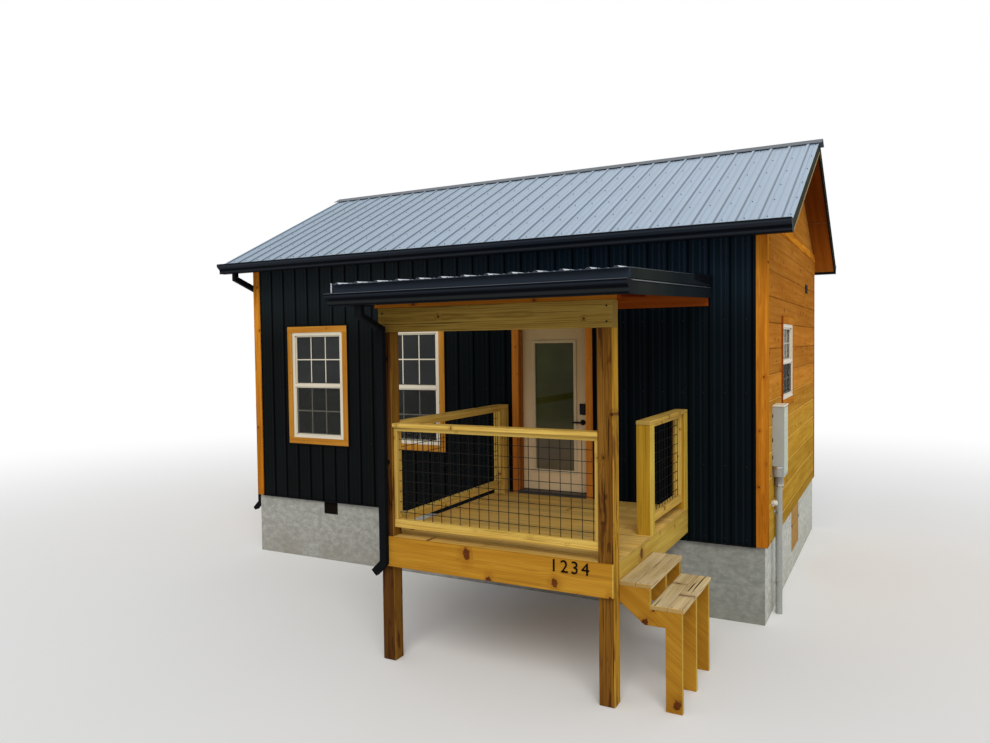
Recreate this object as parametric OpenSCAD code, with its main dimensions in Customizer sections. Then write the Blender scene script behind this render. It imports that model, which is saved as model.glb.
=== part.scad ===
// Small gable-roofed house with a front porch, on a block foundation.
// X runs along the front to the right, Y to the back, Z up, in millimetres.
// The origin is the middle of the front foundation wall, on its underside.

/* [House] */
// Length of the framing along the front
house_l = 7315; // [6000:5:9000]
// Depth of the framing from front to back
house_w = 4877; // [4200:1:6000]
// Height of the walls from the floor to the roof at the outer face
wall_h = 3085; // [2800:1:3600]
// Thickness of a framed wall with its sheathing and lining
wall_t = 113; // [100:1:220]
// Sheathing that stands outside the foundation
sheath_t = 11; // [8:1:20]
// Depth of the outside cladding, rib or board
clad_t = 19; // [12:1:25]

/* [Foundation] */
// Height of the foundation at the lowest ground
found_h = 880; // [600:5:1500]
// Thickness of the block walls
found_t = 203; // [150:1:300]
// How far the cladding laps down over the foundation
clad_lap = 30; // [15:1:60]
// Thickness of the floor with its joists
floor_t = 370; // [250:5:420]
// Width of a foundation vent
vent_w = 240; // [150:5:400]
// Height of a foundation vent
vent_h = 180; // [100:5:200]
// Place of the front vent along the front
vent_x = -2300; // [-3000:10:-1500]
// Width of the crawl space hatch
hatch_w = 770; // [500:10:900]
// Height of the crawl space hatch
hatch_h = 630; // [400:10:700]
// Place of the hatch behind the front face
hatch_y = 2220; // [2100:10:3300]
// Thickness of the hatch boards
hatch_t = 38; // [19:1:60]
// Width of the rim round a vent's blades
vent_rim = 14; // [10:1:20]
// Blades of a vent
vent_blades = 5; // [3:1:7]
// How far a vent stands out of its wall
vent_proud = 6; // [3:1:10]
// Depth of a vent behind the wall's face
vent_t = 40; // [25:1:60]

/* [Roof] */
// Rise of the roof for each unit of run
roof_pitch = 0.5; // [0.35:0.05:0.7]
// Depth of the roof frame, measured plumb
roof_v = 140; // [120:1:220]
// Overhang of the frame past the framing at the eaves
eave_oh = 280; // [150:5:400]
// Overhang of the frame past the framing at the gables
rake_oh = 300; // [150:5:400]
// Thickness of the metal edge trim
trim_t = 22; // [15:1:40]
// Overhang of the roofing past the eave trim
drip = 40; // [20:1:60]
// Width of each leg of the ridge cap
cap_leg = 170; // [120:5:250]
// Thickness of the ridge cap
cap_t = 4; // [2:1:8]
// Lip of the edge trim under the roof frame
trim_lip = 10; // [5:1:20]
// Gap between the two roof sheets at the ridge
ridge_gap = 12; // [5:1:30]
// How far the ridge cap runs past the roofing at each end
ridge_past = 40; // [0:5:60]

/* [Ribbed metal] */
// Spacing of the main ribs
rib_pitch = 228.6; // [200:0.1:305]
// Height of a main rib with the sheet under it
rib_h = 19; // [12:1:25]
// Width of a main rib at its foot
rib_foot = 58; // [40:1:80]
// Width of a main rib at its top
rib_top = 22; // [12:1:36]
// Height of the two small ribs between main ribs
small_h = 3; // [1:1:6]
// Width of a small rib
small_w = 22; // [12:1:30]
// Thickness of the flat of the sheet as modelled
sheet_t = 5; // [3:1:10]
// Distance from a sheet edge to the middle of its first rib
rib_edge = 60; // [40:1:110]

/* [Gable boards] */
// Height that each board shows
board_h = 283.5; // [200:0.5:300]
// Height that the lowest board shows
board_first = 155; // [100:5:250]
// Width of the channel between boards
channel_w = 9; // [4:1:15]
// Depth of the channel between boards
channel_d = 8; // [4:1:12]
// Height of the band across the gable above the cladding
band_z = 3485; // [3300:5:3700]
// Width of the band
band_h = 105; // [60:5:150]
// Distance that the band stands off the cladding
band_t = 14; // [8:1:25]

/* [Trim boards] */
// Width of the corner boards
corner_w = 118; // [80:1:160]
// Width of the window and door casings
casing_w = 90; // [60:1:120]
// Thickness of the casings in front of the cladding
casing_t = 10; // [6:1:25]
// How far the door's casing covers its jambs
casing_lap = 19; // [5:1:22]

/* [Windows] */
// Width of a front window
win_w = 914; // [700:1:1000]
// Height of a front window
win_h = 1524; // [1200:1:1600]
// Height of the window heads above the cladding's foot
head_z = 2430; // [2300:5:2500]
// Place of the left front window along the front
win_left_x = -2478; // [-2560:1:-2420]
// Place of the right front window along the front
win_right_x = -879; // [-960:1:-800]
// Width of a gable window
side_w = 914; // [600:1:1000]
// Height of a gable window
side_h = 914; // [600:1:1200]
// Middle of the gable windows behind the front face
side_y = 1620; // [1100:5:1700]
// Width of the vinyl frame members
frame_w = 42; // [30:1:60]
// Depth of the vinyl frames
frame_d = 84; // [60:1:110]
// Height of the rail where the two sashes meet
meet_h = 44; // [30:1:60]
// Thickness of the glazing
glass_t = 18; // [6:1:28]

/* [Door] */
// Width of the door
door_w = 864; // [760:1:920]
// Height of the door
door_h = 2032; // [1980:1:2100]
// Thickness of the door
door_t = 44; // [38:1:50]
// Middle of the door along the front
door_x = 1184; // [1000:1:1300]
// Gap round the door
door_gap = 7; // [6:1:10]
// Thickness of the jambs
jamb_t = 24; // [18:1:30]
// Width that the stops cover at the edges of the door
stop_w = 17; // [12:1:25]
// Depth of the stops in front of the door
stop_d = 30; // [20:1:45]
// Height of the threshold above the floor
sill_h = 15; // [10:1:30]
// Width of the glazed panel with its frame
lite_w = 584; // [480:1:620]
// Height of the glazed panel with its frame
lite_h = 1630; // [1400:1:1720]
// Height of the glazed panel's middle above the door's middle
lite_rise = 17; // [-50:1:50]
// Width of the frame round the glass
lite_edge = 36; // [25:1:60]
// How far that frame stands out of the door
lite_t = 10; // [6:1:16]
// Distance from the lock edge to the lever and bolt
backset = 60; // [55:1:75]
// Height of the lever above the foot of the door
lever_z = 850; // [800:5:1000]
// Height of the bolt's keypad above the foot of the door
keypad_z = 1010; // [950:5:1150]
// Height of a hinge
hinge_h = 100; // [76:1:114]
// Distance of the outer hinges from the door's ends
hinge_end = 180; // [150:5:250]
// How far the threshold's nose stands out
sill_nose = 40; // [20:1:60]
// Diameter of the plate behind a lever
rose_d = 66; // [50:1:72]
// Thickness of the plate behind a lever
rose_t = 9; // [5:1:14]
// Diameter of a lever's neck
neck_d = 24; // [16:1:30]
// Length of a lever from its neck
lever_l = 118; // [90:1:130]
// How far a lever stands out of the door
lever_out = 58; // [45:1:70]
// Thickness of a lever
lever_t = 14; // [10:1:20]
// Height of a lever's bar
lever_h = 20; // [14:1:26]
// Width of the keypad
keypad_w = 68; // [55:1:75]
// Height of the keypad
keypad_h = 130; // [100:1:160]
// Thickness of the keypad
keypad_t = 24; // [16:1:35]
// Width of the bolt's inside plate
turn_w = 60; // [50:1:75]
// Height of the bolt's inside plate
turn_h = 90; // [70:1:140]
// Thickness of the bolt's inside plate
turn_t = 22; // [10:1:35]

/* [Gutters] */
// Width of a gutter at the top
gutter_w = 152; // [100:1:160]
// Height of a gutter
gutter_h = 136; // [90:1:150]
// Wall of a gutter as modelled
gutter_t = 4; // [3:1:8]
// Drop of the main gutters' rims below the roof frame's top edge
gutter_drop = 22; // [21:1:30]
// Width of a downspout
spout_w = 76; // [60:1:102]
// Depth of a downspout
spout_d = 51; // [40:1:76]
// Height of the main downspouts' lower ends
main_shoe = 610; // [100:5:800]
// Height of the porch downspout's lower end
porch_shoe = 870; // [100:5:900]
// How far a downspout's shoe reaches to the side
shoe_reach = 110; // [80:5:200]
// Place of the main downspouts behind the cladding's face
spout_back = 90; // [60:5:150]
// Drop from the main gutters' floor to the first bend
bend_1 = 80; // [50:5:120]
// Drop from the main gutters' floor to the second bend
bend_2 = 230; // [200:5:450]
// Drop from the porch gutter's floor to the first bend
porch_bend_1 = 95; // [50:5:120]
// Drop from the porch gutter's floor to the second bend
porch_bend_2 = 215; // [180:5:500]
// Place of the porch downspout past the left post's side
porch_spout_x = 73; // [40:1:100]
// How far the porch gutter runs past the right side of its roof
gutter_past = 25; // [0:1:40]

/* [Porch] */
// Width over the outer faces of the porch posts
porch_w = 2380; // [2300:10:2500]
// Middle of the porch along the front
porch_x = 1645; // [1600:5:1650]
// Depth of the porch from the cladding to the skirt board's face
porch_d = 2538; // [2400:2:2700]
// Side of a porch post
post_s = 140; // [120:1:150]
// Drop from the floor to the deck
deck_drop = 25; // [10:1:60]
// Width of the skirt boards
skirt_h = 286; // [235:1:300]
// Thickness of framing boards
board_t = 38; // [30:1:45]
// Thickness of the deck boards
deck_t = 25; // [20:1:38]
// Width of a deck board
plank_w = 139; // [90:1:145]
// Gap between deck boards
plank_gap = 5; // [3:1:10]
// Height of the beam's underside above the deck
beam_z = 1980; // [1900:5:2100]
// Height of the beam
beam_h = 235; // [184:1:286]
// Thickness of the three-ply beam
beam_t = 114; // [70:1:120]
// Joists between the deck's rims
joist_n = 5; // [3:1:7]

/* [Porch roof] */
// Fall of the porch roof over its whole depth
porch_fall = 138; // [100:1:300]
// Overhang of the porch roof past the posts at the sides
porch_side = 260; // [150:5:300]
// Overhang of the roof frame past the posts in front
porch_front = 310; // [250:5:400]
// Depth of the porch rafters
rafter_h = 155; // [120:1:235]
// Thickness of the boards that lie across the rafters
lay_t = 38; // [12:1:45]
// Number of porch rafters
rafter_n = 5; // [3:1:9]
// Thickness of the plate on the beam
plate_t = 38; // [30:1:45]
// How far the plate sticks out past the posts
plate_oh = 40; // [10:5:60]
// Height of the side trim at the front
rake_front_h = 203; // [160:1:240]
// Height of the side trim at the wall
rake_back_h = 236; // [180:5:260]
// Height of the outer band along the top of the side trim at the front
band_front_h = 78; // [50:1:110]
// Height of that band at the wall
band_back_h = 112; // [60:1:140]
// How far that band stands out of the side trim
band_out = 8; // [3:1:15]
// Height of the ledger board on the wall
ledger_h = 286; // [235:1:300]
// Drop of the porch gutter's rim below the roofing
porch_gutter_drop = 95; // [40:1:100]
// Height of the porch gutter
porch_gutter_h = 108; // [80:1:120]
// Gap between the porch roofing and the wall
wall_gap = 6; // [3:1:15]

/* [Railing] */
// Height of the rail cap's top above the deck
rail_h = 1100; // [900:5:1150]
// Width of the rail cap
cap_w = 140; // [110:1:150]
// Width of the bottom rail
bottom_w = 89; // [60:1:100]
// Gap between the deck and the bottom rail
rail_gap = 87; // [60:1:110]
// Side of the strips that hold the mesh
strip_s = 38; // [25:1:45]
// How far a rail's cap runs past the newel post's front
cap_past = 8; // [0:1:20]
// Side of the posts at the wall
wall_post = 140; // [70:1:150]
// Distance from the wall to the front face of the newel post
newel_y = 1435; // [1300:5:1500]
// Spacing of the mesh wires
mesh_pitch = 101.6; // [90:0.1:110]
// Thickness of the mesh wires
wire = 5; // [3:0.5:8]

/* [Steps] */
// Rise of each step
rise = 172; // [160:1:200]
// Depth of a tread, made of two boards
tread_d = 282; // [240:1:300]
// Length of the treads
tread_l = 1005; // [900:5:1010]
// Thickness of the treads
tread_t = 38; // [30:1:45]
// Drop from the lower tread to the ground in front of it
step_ground = 176; // [150:1:230]
// How far the treads reach past the newel post's front face
step_lap = 70; // [0:5:90]
// How far a tread reaches past the stringers under it
nosing = 14; // [5:1:30]
// Width of a stringer's foot on the ground
stringer_foot = 320; // [250:5:400]
// Height of a stringer at the deck
stringer_h = 140; // [120:1:200]
// Width of the leg under a stringer
stringer_leg = 140; // [89:1:200]
// Gap between the two boards of a tread
tread_gap = 4; // [2:1:8]

/* [Meter] */
// Depth of the meter cabinet off the wall
meter_t = 120; // [80:5:160]
// Width of the meter cabinet
meter_w = 300; // [200:10:400]
// Height of the meter cabinet
meter_h = 790; // [600:10:900]
// Place of the cabinet behind the front face
meter_y = 350; // [250:5:450]
// Height of the cabinet's foot above the cladding's foot
meter_z = 720; // [500:5:900]
// Diameter of the conduit below it
conduit_d = 73; // [40:1:80]
// Height of the fitting under the cabinet
fitting_h = 120; // [60:5:200]
// Diameter of the fitting under the cabinet
fitting_d = 97; // [85:1:110]
// Gap between the conduit and the wall
conduit_off = 12; // [5:1:25]

/* [Hidden] */
win_xs = [win_left_x, win_right_x];
// Clearance between pieces that are only seated on each other
seat = 0.3;
// Overlap of cutting shapes past the faces that they cut
cut = 1;
// How far boards that are nailed together reach into each other
bite = 1;
// Angle by which a downspout's shoe leaves the vertical
shoe_a = 45;

half_l = house_l / 2;
front_y = -found_t / 2;
back_y = front_y + house_w;
mid_y = (front_y + back_y) / 2;
clad_z = found_h - clad_lap;
floor_z = found_h + floor_t;
eave_z = floor_z + wall_h;
// Faces of the sheathing, of the cladding and of the rooms
sheath_front = front_y - sheath_t;
sheath_back = back_y + sheath_t;
sheath_side = half_l + sheath_t;
face_front = sheath_front - clad_t;
face_back = sheath_back + clad_t;
face_side = sheath_side + clad_t;
inner_front = sheath_front + wall_t;
inner_side = sheath_side - wall_t;
// Roof over the house
slope_a = atan(roof_pitch);
eave_y = front_y - eave_oh;
roof_l = house_l + 2 * rake_oh + 2 * trim_t;
// Windows and the door with its opening
top_z = clad_z + head_z;
door_foot = floor_z + sill_h + door_gap;
door_left = door_x - door_w / 2;
slab_y = inner_front - door_t;
lite_x = (door_w - lite_w) / 2;
lite_z = (door_h - lite_h) / 2 + lite_rise;
open_left = door_left - door_gap;
open_w = door_w + 2 * door_gap;
open_top = door_foot + door_h + door_gap;
rough_left = open_left - jamb_t;
rough_w = open_w + 2 * jamb_t;
rough_top = open_top + jamb_t;
case_left = rough_left + casing_lap;
case_w = rough_w - 2 * casing_lap;
case_top = rough_top - casing_lap;
hinge_r = 6.5;
knuckle_h = (hinge_h - seat) / 2;
pin_off = 1.5;
pin_x = door_left - door_gap / 2;
pin_y = inner_front + hinge_r + pin_off;
// Porch, seen from above and from the side
deck_z = floor_z - deck_drop;
frame_z = deck_z - deck_t;
post_left = porch_x - porch_w / 2;
post_right = porch_x + porch_w / 2;
skirt_y = face_front - porch_d;
post_y = skirt_y + board_t;
ledger_y = face_front - board_t;
beam_foot = deck_z + beam_z;
beam_top = beam_foot + beam_h;
porch_edge_y = post_y - porch_front;
porch_eave_y = porch_edge_y - trim_t - drip;
porch_slope = porch_fall / (face_front - porch_eave_y);
porch_a = atan(porch_slope);
porch_left = post_left - porch_side;
porch_l = porch_w + 2 * porch_side;
newel_back = face_front - newel_y + post_s;
rail_foot = deck_z + rail_gap;
cap_foot = deck_z + rail_h - board_t;
// Steps beside the porch
step_y = face_front - newel_y + step_lap - tread_l;
tread_1 = deck_z - rise;
tread_2 = tread_1 - rise;
// Rims of the gutters and where their downspouts leave them
main_gutter_y = eave_y - trim_t - seat;
main_gutter_z = roof_under(eave_y) + roof_v - roof_pitch * trim_t - gutter_drop;
porch_gutter_y = porch_edge_y - trim_t - seat;
porch_gutter_z = porch_top(porch_edge_y) - porch_gutter_drop;
outlet = gutter_w / 3;

// Height of the roof frame's underside over the plan
function roof_under(y) = eave_z + roof_pitch * min(y - front_y, back_y - y);
// Height of the top of the boards that lie across the porch rafters
function porch_top(y) = beam_top + plate_t + rafter_h + lay_t + porch_slope * (y - post_y);

// Outline of a ribbed sheet over a length, from its flat back
function ribbed(len) = concat(
    [[0, 0], [0, sheet_t]],
    [for (x = [rib_edge:rib_pitch:len - rib_foot / 2], p = rib_points(x, len)) p],
    [[len, sheet_t], [len, 0]]);
// Points of one main rib and of the small ribs after it, while they fit in the length
function rib_points(x, len) = concat(
    rib(x, rib_foot, rib_top, rib_h),
    [for (j = [1, 2], s = x + j * rib_pitch / 3, p = s + small_w < len
        ? rib(s, small_w, small_w / 2, sheet_t + small_h) : []) p]);
function rib(x, foot, top, h) = [
    [x - foot / 2, sheet_t], [x - top / 2, h], [x + top / 2, h], [x + foot / 2, sheet_t]];

// Extrudes a drawing of Y and Z along X from x0
module along_x(x0, len) {
    translate([x0, 0, 0]) rotate([90, 0, 90]) linear_extrude(len) children();
}

// Extrudes a drawing of X and Z along Y from y0
module along_y(y0, len) {
    translate([0, y0 + len, 0]) rotate([90, 0, 0]) linear_extrude(len) children();
}

// Box from one corner to the opposite one
module block(a, b) {
    translate(a) cube(b - a);
}

module at_back() {
    translate([0, 2 * mid_y, 0]) mirror([0, 1, 0]) children();
}

module front_and_back() {
    children();
    at_back() children();
}

module left_and_right() {
    children();
    mirror([1, 0, 0]) children();
}

module foundation_long_walls() {
    color("darkgray") front_and_back() difference() {
        block([-half_l, front_y, 0], [half_l, front_y + found_t, found_h]);
        block([vent_x - vent_w / 2, front_y - cut, clad_z - vent_h],
              [vent_x + vent_w / 2, front_y + found_t + cut, clad_z]);
    }
}

module foundation_end_walls() {
    color("darkgray") {
        block([-half_l, front_y + found_t, 0], [-half_l + found_t, back_y - found_t, found_h]);
        difference() {
            block([half_l - found_t, front_y + found_t, 0], [half_l, back_y - found_t, found_h]);
            block([half_l - found_t - cut, front_y + hatch_y, found_h - hatch_h],
                  [half_l + cut, front_y + hatch_y + hatch_w, found_h + cut]);
        }
    }
}

// Louvred vents that fill the holes in the long foundation walls
module vents() {
    pitch = (vent_h - 2 * vent_rim) / vent_blades;
    space = 0.6 * pitch;
    color("black") front_and_back() difference() {
        block([vent_x - vent_w / 2, front_y - vent_proud, clad_z - vent_h],
              [vent_x + vent_w / 2, front_y + vent_t, clad_z]);
        for (z = [clad_z - vent_h + vent_rim:pitch:clad_z - vent_rim - pitch / 2])
            block([vent_x - vent_w / 2 + vent_rim, front_y - vent_proud - cut, z],
                  [vent_x + vent_w / 2 - vent_rim, front_y + vent_t - vent_rim, z + space]);
    }
}

module crawl_hatch() {
    color("peru") block([half_l - hatch_t, front_y + hatch_y, found_h - hatch_h],
                        [half_l, front_y + hatch_y + hatch_w, found_h]);
}

module floor_platform() {
    color("burlywood") block([-sheath_side, sheath_front, found_h], [sheath_side, sheath_back, floor_z]);
}

// Front wall over its whole length, before it is split at the doorway
module front_wall_profile() {
    polygon([[sheath_front, floor_z], [inner_front, floor_z],
             [inner_front, roof_under(inner_front)], [sheath_front, roof_under(sheath_front)]]);
}

// Hole for a window in the front, grown by a margin to take its casing too
module window_hole(x, margin) {
    block([x - win_w / 2 - margin, face_front - cut, top_z - win_h - margin],
          [x + win_w / 2 + margin, inner_front + cut, top_z + margin]);
}

// Hole for a window in the right gable
module side_window_hole(margin) {
    block([inner_side - cut, face_front + side_y - side_w / 2 - margin, top_z - side_h - margin],
          [face_side + cut, face_front + side_y + side_w / 2 + margin, top_z + margin]);
}

module front_wall_left() {
    color("gainsboro") difference() {
        along_x(-inner_side, rough_left + inner_side) front_wall_profile();
        for (x = win_xs) window_hole(x, 0);
    }
}

module front_wall_right() {
    color("gainsboro") along_x(rough_left + rough_w, inner_side - rough_left - rough_w) front_wall_profile();
}

module front_wall_over_door() {
    color("gainsboro") intersection() {
        along_x(rough_left, rough_w) front_wall_profile();
        block([rough_left, sheath_front, rough_top], [rough_left + rough_w, inner_front, roof_under(mid_y)]);
    }
}

module back_wall() {
    color("gainsboro") at_back() difference() {
        along_x(-inner_side, 2 * inner_side) front_wall_profile();
        for (x = win_xs) window_hole(-x, 0);
    }
}

// Gable in Y and Z up to the roof frame, grown sideways by a margin past the foundation
module gable_outline(foot, margin) {
    polygon([[front_y - margin, foot], [back_y + margin, foot],
             [back_y + margin, roof_under(back_y + margin)],
             [mid_y, roof_under(mid_y)], [front_y - margin, roof_under(front_y - margin)]]);
}

module gable_wall() {
    color("gainsboro") difference() {
        along_x(inner_side, wall_t) gable_outline(floor_z, sheath_t);
        side_window_hole(0);
    }
}

module left_wall() {
    mirror([1, 0, 0]) gable_wall();
}

module right_wall() {
    gable_wall();
}

// Ribbed cladding of a long wall, between its corner boards
module ribbed_wall() {
    len = 2 * (face_side - corner_w);
    translate([len / 2, sheath_front, clad_z]) rotate([0, 0, 180])
        linear_extrude(roof_under(face_front) - seat - clad_z) polygon(ribbed(len));
}

module metal_siding() {
    color("darkslategray") {
        difference() {
            ribbed_wall();
            for (x = win_xs) window_hole(x, casing_w);
            block([case_left - casing_w, face_front - cut, deck_z],
                  [case_left + case_w + casing_w, sheath_front + cut, case_top + casing_w]);
        }
        at_back() difference() {
            ribbed_wall();
            for (x = win_xs) window_hole(-x, casing_w);
        }
    }
}

// Gable boards between the corner boards, a channel under each board up to the band
module board_siding() {
    color("chocolate") left_and_right() difference() {
        along_x(sheath_side, clad_t) gable_outline(clad_z, sheath_t + clad_t - corner_w);
        for (z = [clad_z + board_first:board_h:clad_z + band_z])
            block([face_side - channel_d, front_y - cut, z], [face_side + cut, back_y + cut, z + channel_w]);
        side_window_hole(casing_w);
    }
}

// Corner boards, one leg on each face of the corner, and the bands across the gables
module trim_boards() {
    color("darkorange") left_and_right() {
        front_and_back() {
            block([face_side - corner_w, face_front, clad_z],
                  [face_side, sheath_front, roof_under(face_front) - seat]);
            along_x(sheath_side, clad_t)
                polygon([[sheath_front, clad_z], [face_front + corner_w, clad_z],
                         [face_front + corner_w, roof_under(face_front + corner_w)],
                         [sheath_front, roof_under(sheath_front)]]);
        }
        intersection() {
            along_x(face_side, band_t) gable_outline(clad_z, sheath_t + clad_t);
            block([face_side, face_front, clad_z + band_z],
                  [face_side + band_t, face_back, clad_z + band_z + band_h]);
        }
    }
}

// Window frame in X and Z from its outer face, with the rail where the sashes meet
module window_frame(w, h) {
    difference() {
        block([-w / 2, 0, -h], [w / 2, frame_d, 0]);
        for (z = [frame_w - h, (meet_h - h) / 2])
            block([frame_w - w / 2, -cut, z],
                  [w / 2 - frame_w, frame_d + cut, z + (h - meet_h) / 2 - frame_w]);
    }
}

// Two panes, each held in the middle of the frame's depth
module window_panes(w, h) {
    for (z = [frame_w - h, (meet_h - h) / 2])
        block([frame_w - w / 2, (frame_d - glass_t) / 2, z],
              [w / 2 - frame_w, (frame_d + glass_t) / 2, z + (h - meet_h) / 2 - frame_w]);
}

module at_long_wall_windows() {
    front_and_back_turned() for (x = win_xs) translate([x, face_front, top_z]) children();
}

// The back wall's windows are the front's, turned half round with the house
module front_and_back_turned() {
    children();
    translate([0, 2 * mid_y, 0]) rotate([0, 0, 180]) children();
}

module at_gable_windows() {
    left_and_right() translate([face_side, face_front + side_y, top_z]) rotate([0, 0, 90]) children();
}

module window_frames() {
    color("white") {
        at_long_wall_windows() window_frame(win_w, win_h);
        at_gable_windows() window_frame(side_w, side_h);
    }
}

module window_glass() {
    color("lightblue") {
        at_long_wall_windows() window_panes(win_w, win_h);
        at_gable_windows() window_panes(side_w, side_h);
    }
}

// Boards round a hole of a width and height below Z = 0, with or without one under it
module casing(w, h, under) {
    difference() {
        block([-w / 2 - casing_w, -casing_t, -h - under], [w / 2 + casing_w, clad_t, casing_w]);
        block([-w / 2, -casing_t - cut, under > 0 ? -h : -h - cut], [w / 2, clad_t + cut, 0]);
    }
}

module casings() {
    color("darkorange") {
        at_long_wall_windows() casing(win_w, win_h, casing_w);
        at_gable_windows() casing(side_w, side_h, casing_w);
        translate([door_x, face_front, case_top]) casing(case_w, case_top - deck_z, 0);
    }
}

// Places its children at the foot of each hinge's pin
module at_hinges() {
    for (z = [hinge_end, (door_h - hinge_h) / 2, door_h - hinge_end - hinge_h])
        translate([pin_x, pin_y, door_foot + z]) children();
}

// Jambs and head with their stops, and the upper half of each hinge
module door_frame() {
    color("sienna") {
        difference() {
            block([rough_left, sheath_front, floor_z], [rough_left + rough_w, inner_front, rough_top]);
            block([open_left, slab_y - door_gap, floor_z - cut],
                  [open_left + open_w, inner_front + cut, open_top]);
            block([open_left, sheath_front - cut, floor_z - cut],
                  [open_left + open_w, slab_y - door_gap - stop_d, open_top]);
            block([open_left + stop_w, sheath_front - cut, floor_z - cut],
                  [open_left + open_w - stop_w, inner_front, open_top - stop_w]);
        }
        at_hinges() {
            translate([0, 0, knuckle_h + seat]) cylinder(r = hinge_r, h = knuckle_h, $fn = 32);
            block([-jamb_t, -hinge_r - pin_off, knuckle_h + seat], [-door_gap / 2, 0, hinge_h]);
        }
    }
}

// Threshold between the jambs, with a nose in front of the floor
module door_threshold() {
    stop_left = open_left + stop_w;
    stop_right = open_left + open_w - stop_w;
    top = floor_z + sill_h;
    color("dimgray") {
        block([stop_left, face_front, floor_z], [stop_right, inner_front, top]);
        block([open_left, slab_y - door_gap, floor_z], [open_left + open_w, inner_front, top]);
        block([open_left, face_front, floor_z], [open_left + open_w, slab_y - door_gap - stop_d, top]);
        block([case_left, face_front, floor_z], [case_left + case_w, sheath_front, top]);
        block([case_left, face_front - sill_nose, deck_z + seat], [case_left + case_w, face_front, top]);
    }
}

// Places its children at the outer lower hinge corner of the closed door
module at_door() {
    translate([door_left, slab_y, door_foot]) children();
}

module entry_door() {
    color("antiquewhite") at_door() difference() {
        union() {
            cube([door_w, door_t, door_h]);
            block([lite_x, -lite_t, lite_z], [lite_x + lite_w, door_t + lite_t, lite_z + lite_h]);
        }
        block([lite_x + lite_edge, -lite_t - cut, lite_z + lite_edge],
              [lite_x + lite_w - lite_edge, door_t + lite_t + cut, lite_z + lite_h - lite_edge]);
    }
}

module door_glass() {
    color("lightblue") at_door()
        block([lite_x + lite_edge, (door_t - glass_t) / 2, lite_z + lite_edge],
              [door_w - lite_x - lite_edge, (door_t + glass_t) / 2, lite_z + lite_h - lite_edge]);
}

// Round plate, neck and lever on one face of the door
module lever() {
    rotate([90, 0, 0]) {
        cylinder(d = rose_d, h = rose_t, $fn = 48);
        cylinder(d = neck_d, h = lever_out - lever_t / 2, $fn = 32);
    }
    block([-lever_l, -lever_out, -lever_h / 2], [neck_d / 2, lever_t - lever_out, lever_h / 2]);
}

// Levers, the bolt's keypad and its inside turn, and the lower half of each hinge
module door_hardware() {
    color("black") {
        at_door() translate([door_w - backset, 0, 0]) {
            translate([0, 0, lever_z]) lever();
            translate([0, door_t, lever_z]) mirror([0, 1, 0]) lever();
            block([-keypad_w / 2, -keypad_t, keypad_z - keypad_h / 2],
                  [keypad_w / 2, 0, keypad_z + keypad_h / 2]);
            block([-turn_w / 2, door_t, keypad_z - turn_h / 2],
                  [turn_w / 2, door_t + turn_t, keypad_z + turn_h / 2]);
        }
        at_hinges() {
            cylinder(r = hinge_r, h = knuckle_h, $fn = 32);
            block([0, -hinge_r - pin_off, 0], [jamb_t, pin_off - hinge_r, knuckle_h]);
        }
    }
}

// Half of the roof frame: rafters and the stained boards under them, as one thickness
module roof_half() {
    color("peru") along_x(-half_l - rake_oh, house_l + 2 * rake_oh)
        polygon([[eave_y, roof_under(eave_y)], [mid_y, roof_under(mid_y)],
                 [mid_y, roof_under(mid_y) + roof_v], [eave_y, roof_under(eave_y) + roof_v]]);
}

module roof_frame_front() {
    roof_half();
}

module roof_frame_back() {
    at_back() roof_half();
}

// Ribbed roofing of one slope, turned from flat to the pitch about the ridge
module roof_sheet() {
    slope_l = (mid_y - eave_y + trim_t + drip) / cos(slope_a);
    translate([-roof_l / 2, mid_y, roof_under(mid_y) + roof_v]) rotate([slope_a, 0, 0])
        translate([0, -slope_l, seat]) rotate([-90, 0, 0]) mirror([0, 1, 0])
            linear_extrude(slope_l - ridge_gap) polygon(ribbed(roof_l));
}

module roof_metal() {
    color("slategray") front_and_back() roof_sheet();
}

module ridge_cap() {
    top = roof_under(mid_y) + roof_v + (rib_h + 2 * seat) / cos(slope_a);
    run = cap_leg * cos(slope_a);
    v = cap_t / cos(slope_a);
    color("darkslategray") along_x(-roof_l / 2 - ridge_past, roof_l + 2 * ridge_past)
        front_and_back_outline()
            polygon([[mid_y - run, top - run * roof_pitch], [mid_y, top], [mid_y, top + v],
                     [mid_y - run, top - run * roof_pitch + v]]);
}

// A drawing of Y and Z together with its image behind the ridge
module front_and_back_outline() {
    children();
    translate([2 * mid_y, 0]) mirror([1, 0]) children();
}

// Metal-wrapped boards along the eaves and up the gables
module roof_edge_trim() {
    outer_y = eave_y - trim_t;
    color("black") {
        left_and_right() along_x(half_l + rake_oh, trim_t) front_and_back_outline()
            polygon([[outer_y, roof_under(outer_y) - trim_lip], [mid_y, roof_under(mid_y) - trim_lip],
                     [mid_y, roof_under(mid_y) + roof_v], [outer_y, roof_under(outer_y) + roof_v]]);
        along_x(-half_l - rake_oh, house_l + 2 * rake_oh) front_and_back_outline()
            polygon([[outer_y, roof_under(eave_y) - trim_lip], [eave_y, roof_under(eave_y) - trim_lip],
                     [eave_y, roof_under(eave_y) + roof_v], [outer_y, roof_under(outer_y) + roof_v]]);
    }
}

// Outline of a gutter from its back rim, moved in by an inset; the front is an ogee
module gutter_outline(h, inset) {
    foot = gutter_w * 0.66;
    lip = h * 0.26;
    curl = h * 0.16;
    knee = h * 0.62;
    difference() {
        polygon([[-inset, 0], [inset - gutter_w, 0], [inset - gutter_w, -lip], [inset - foot, -knee],
                 [inset - foot, inset - h], [-inset, inset - h]]);
        translate([inset - gutter_w, -2 * lip]) circle(r = curl, $fn = 32);
    }
}

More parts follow.
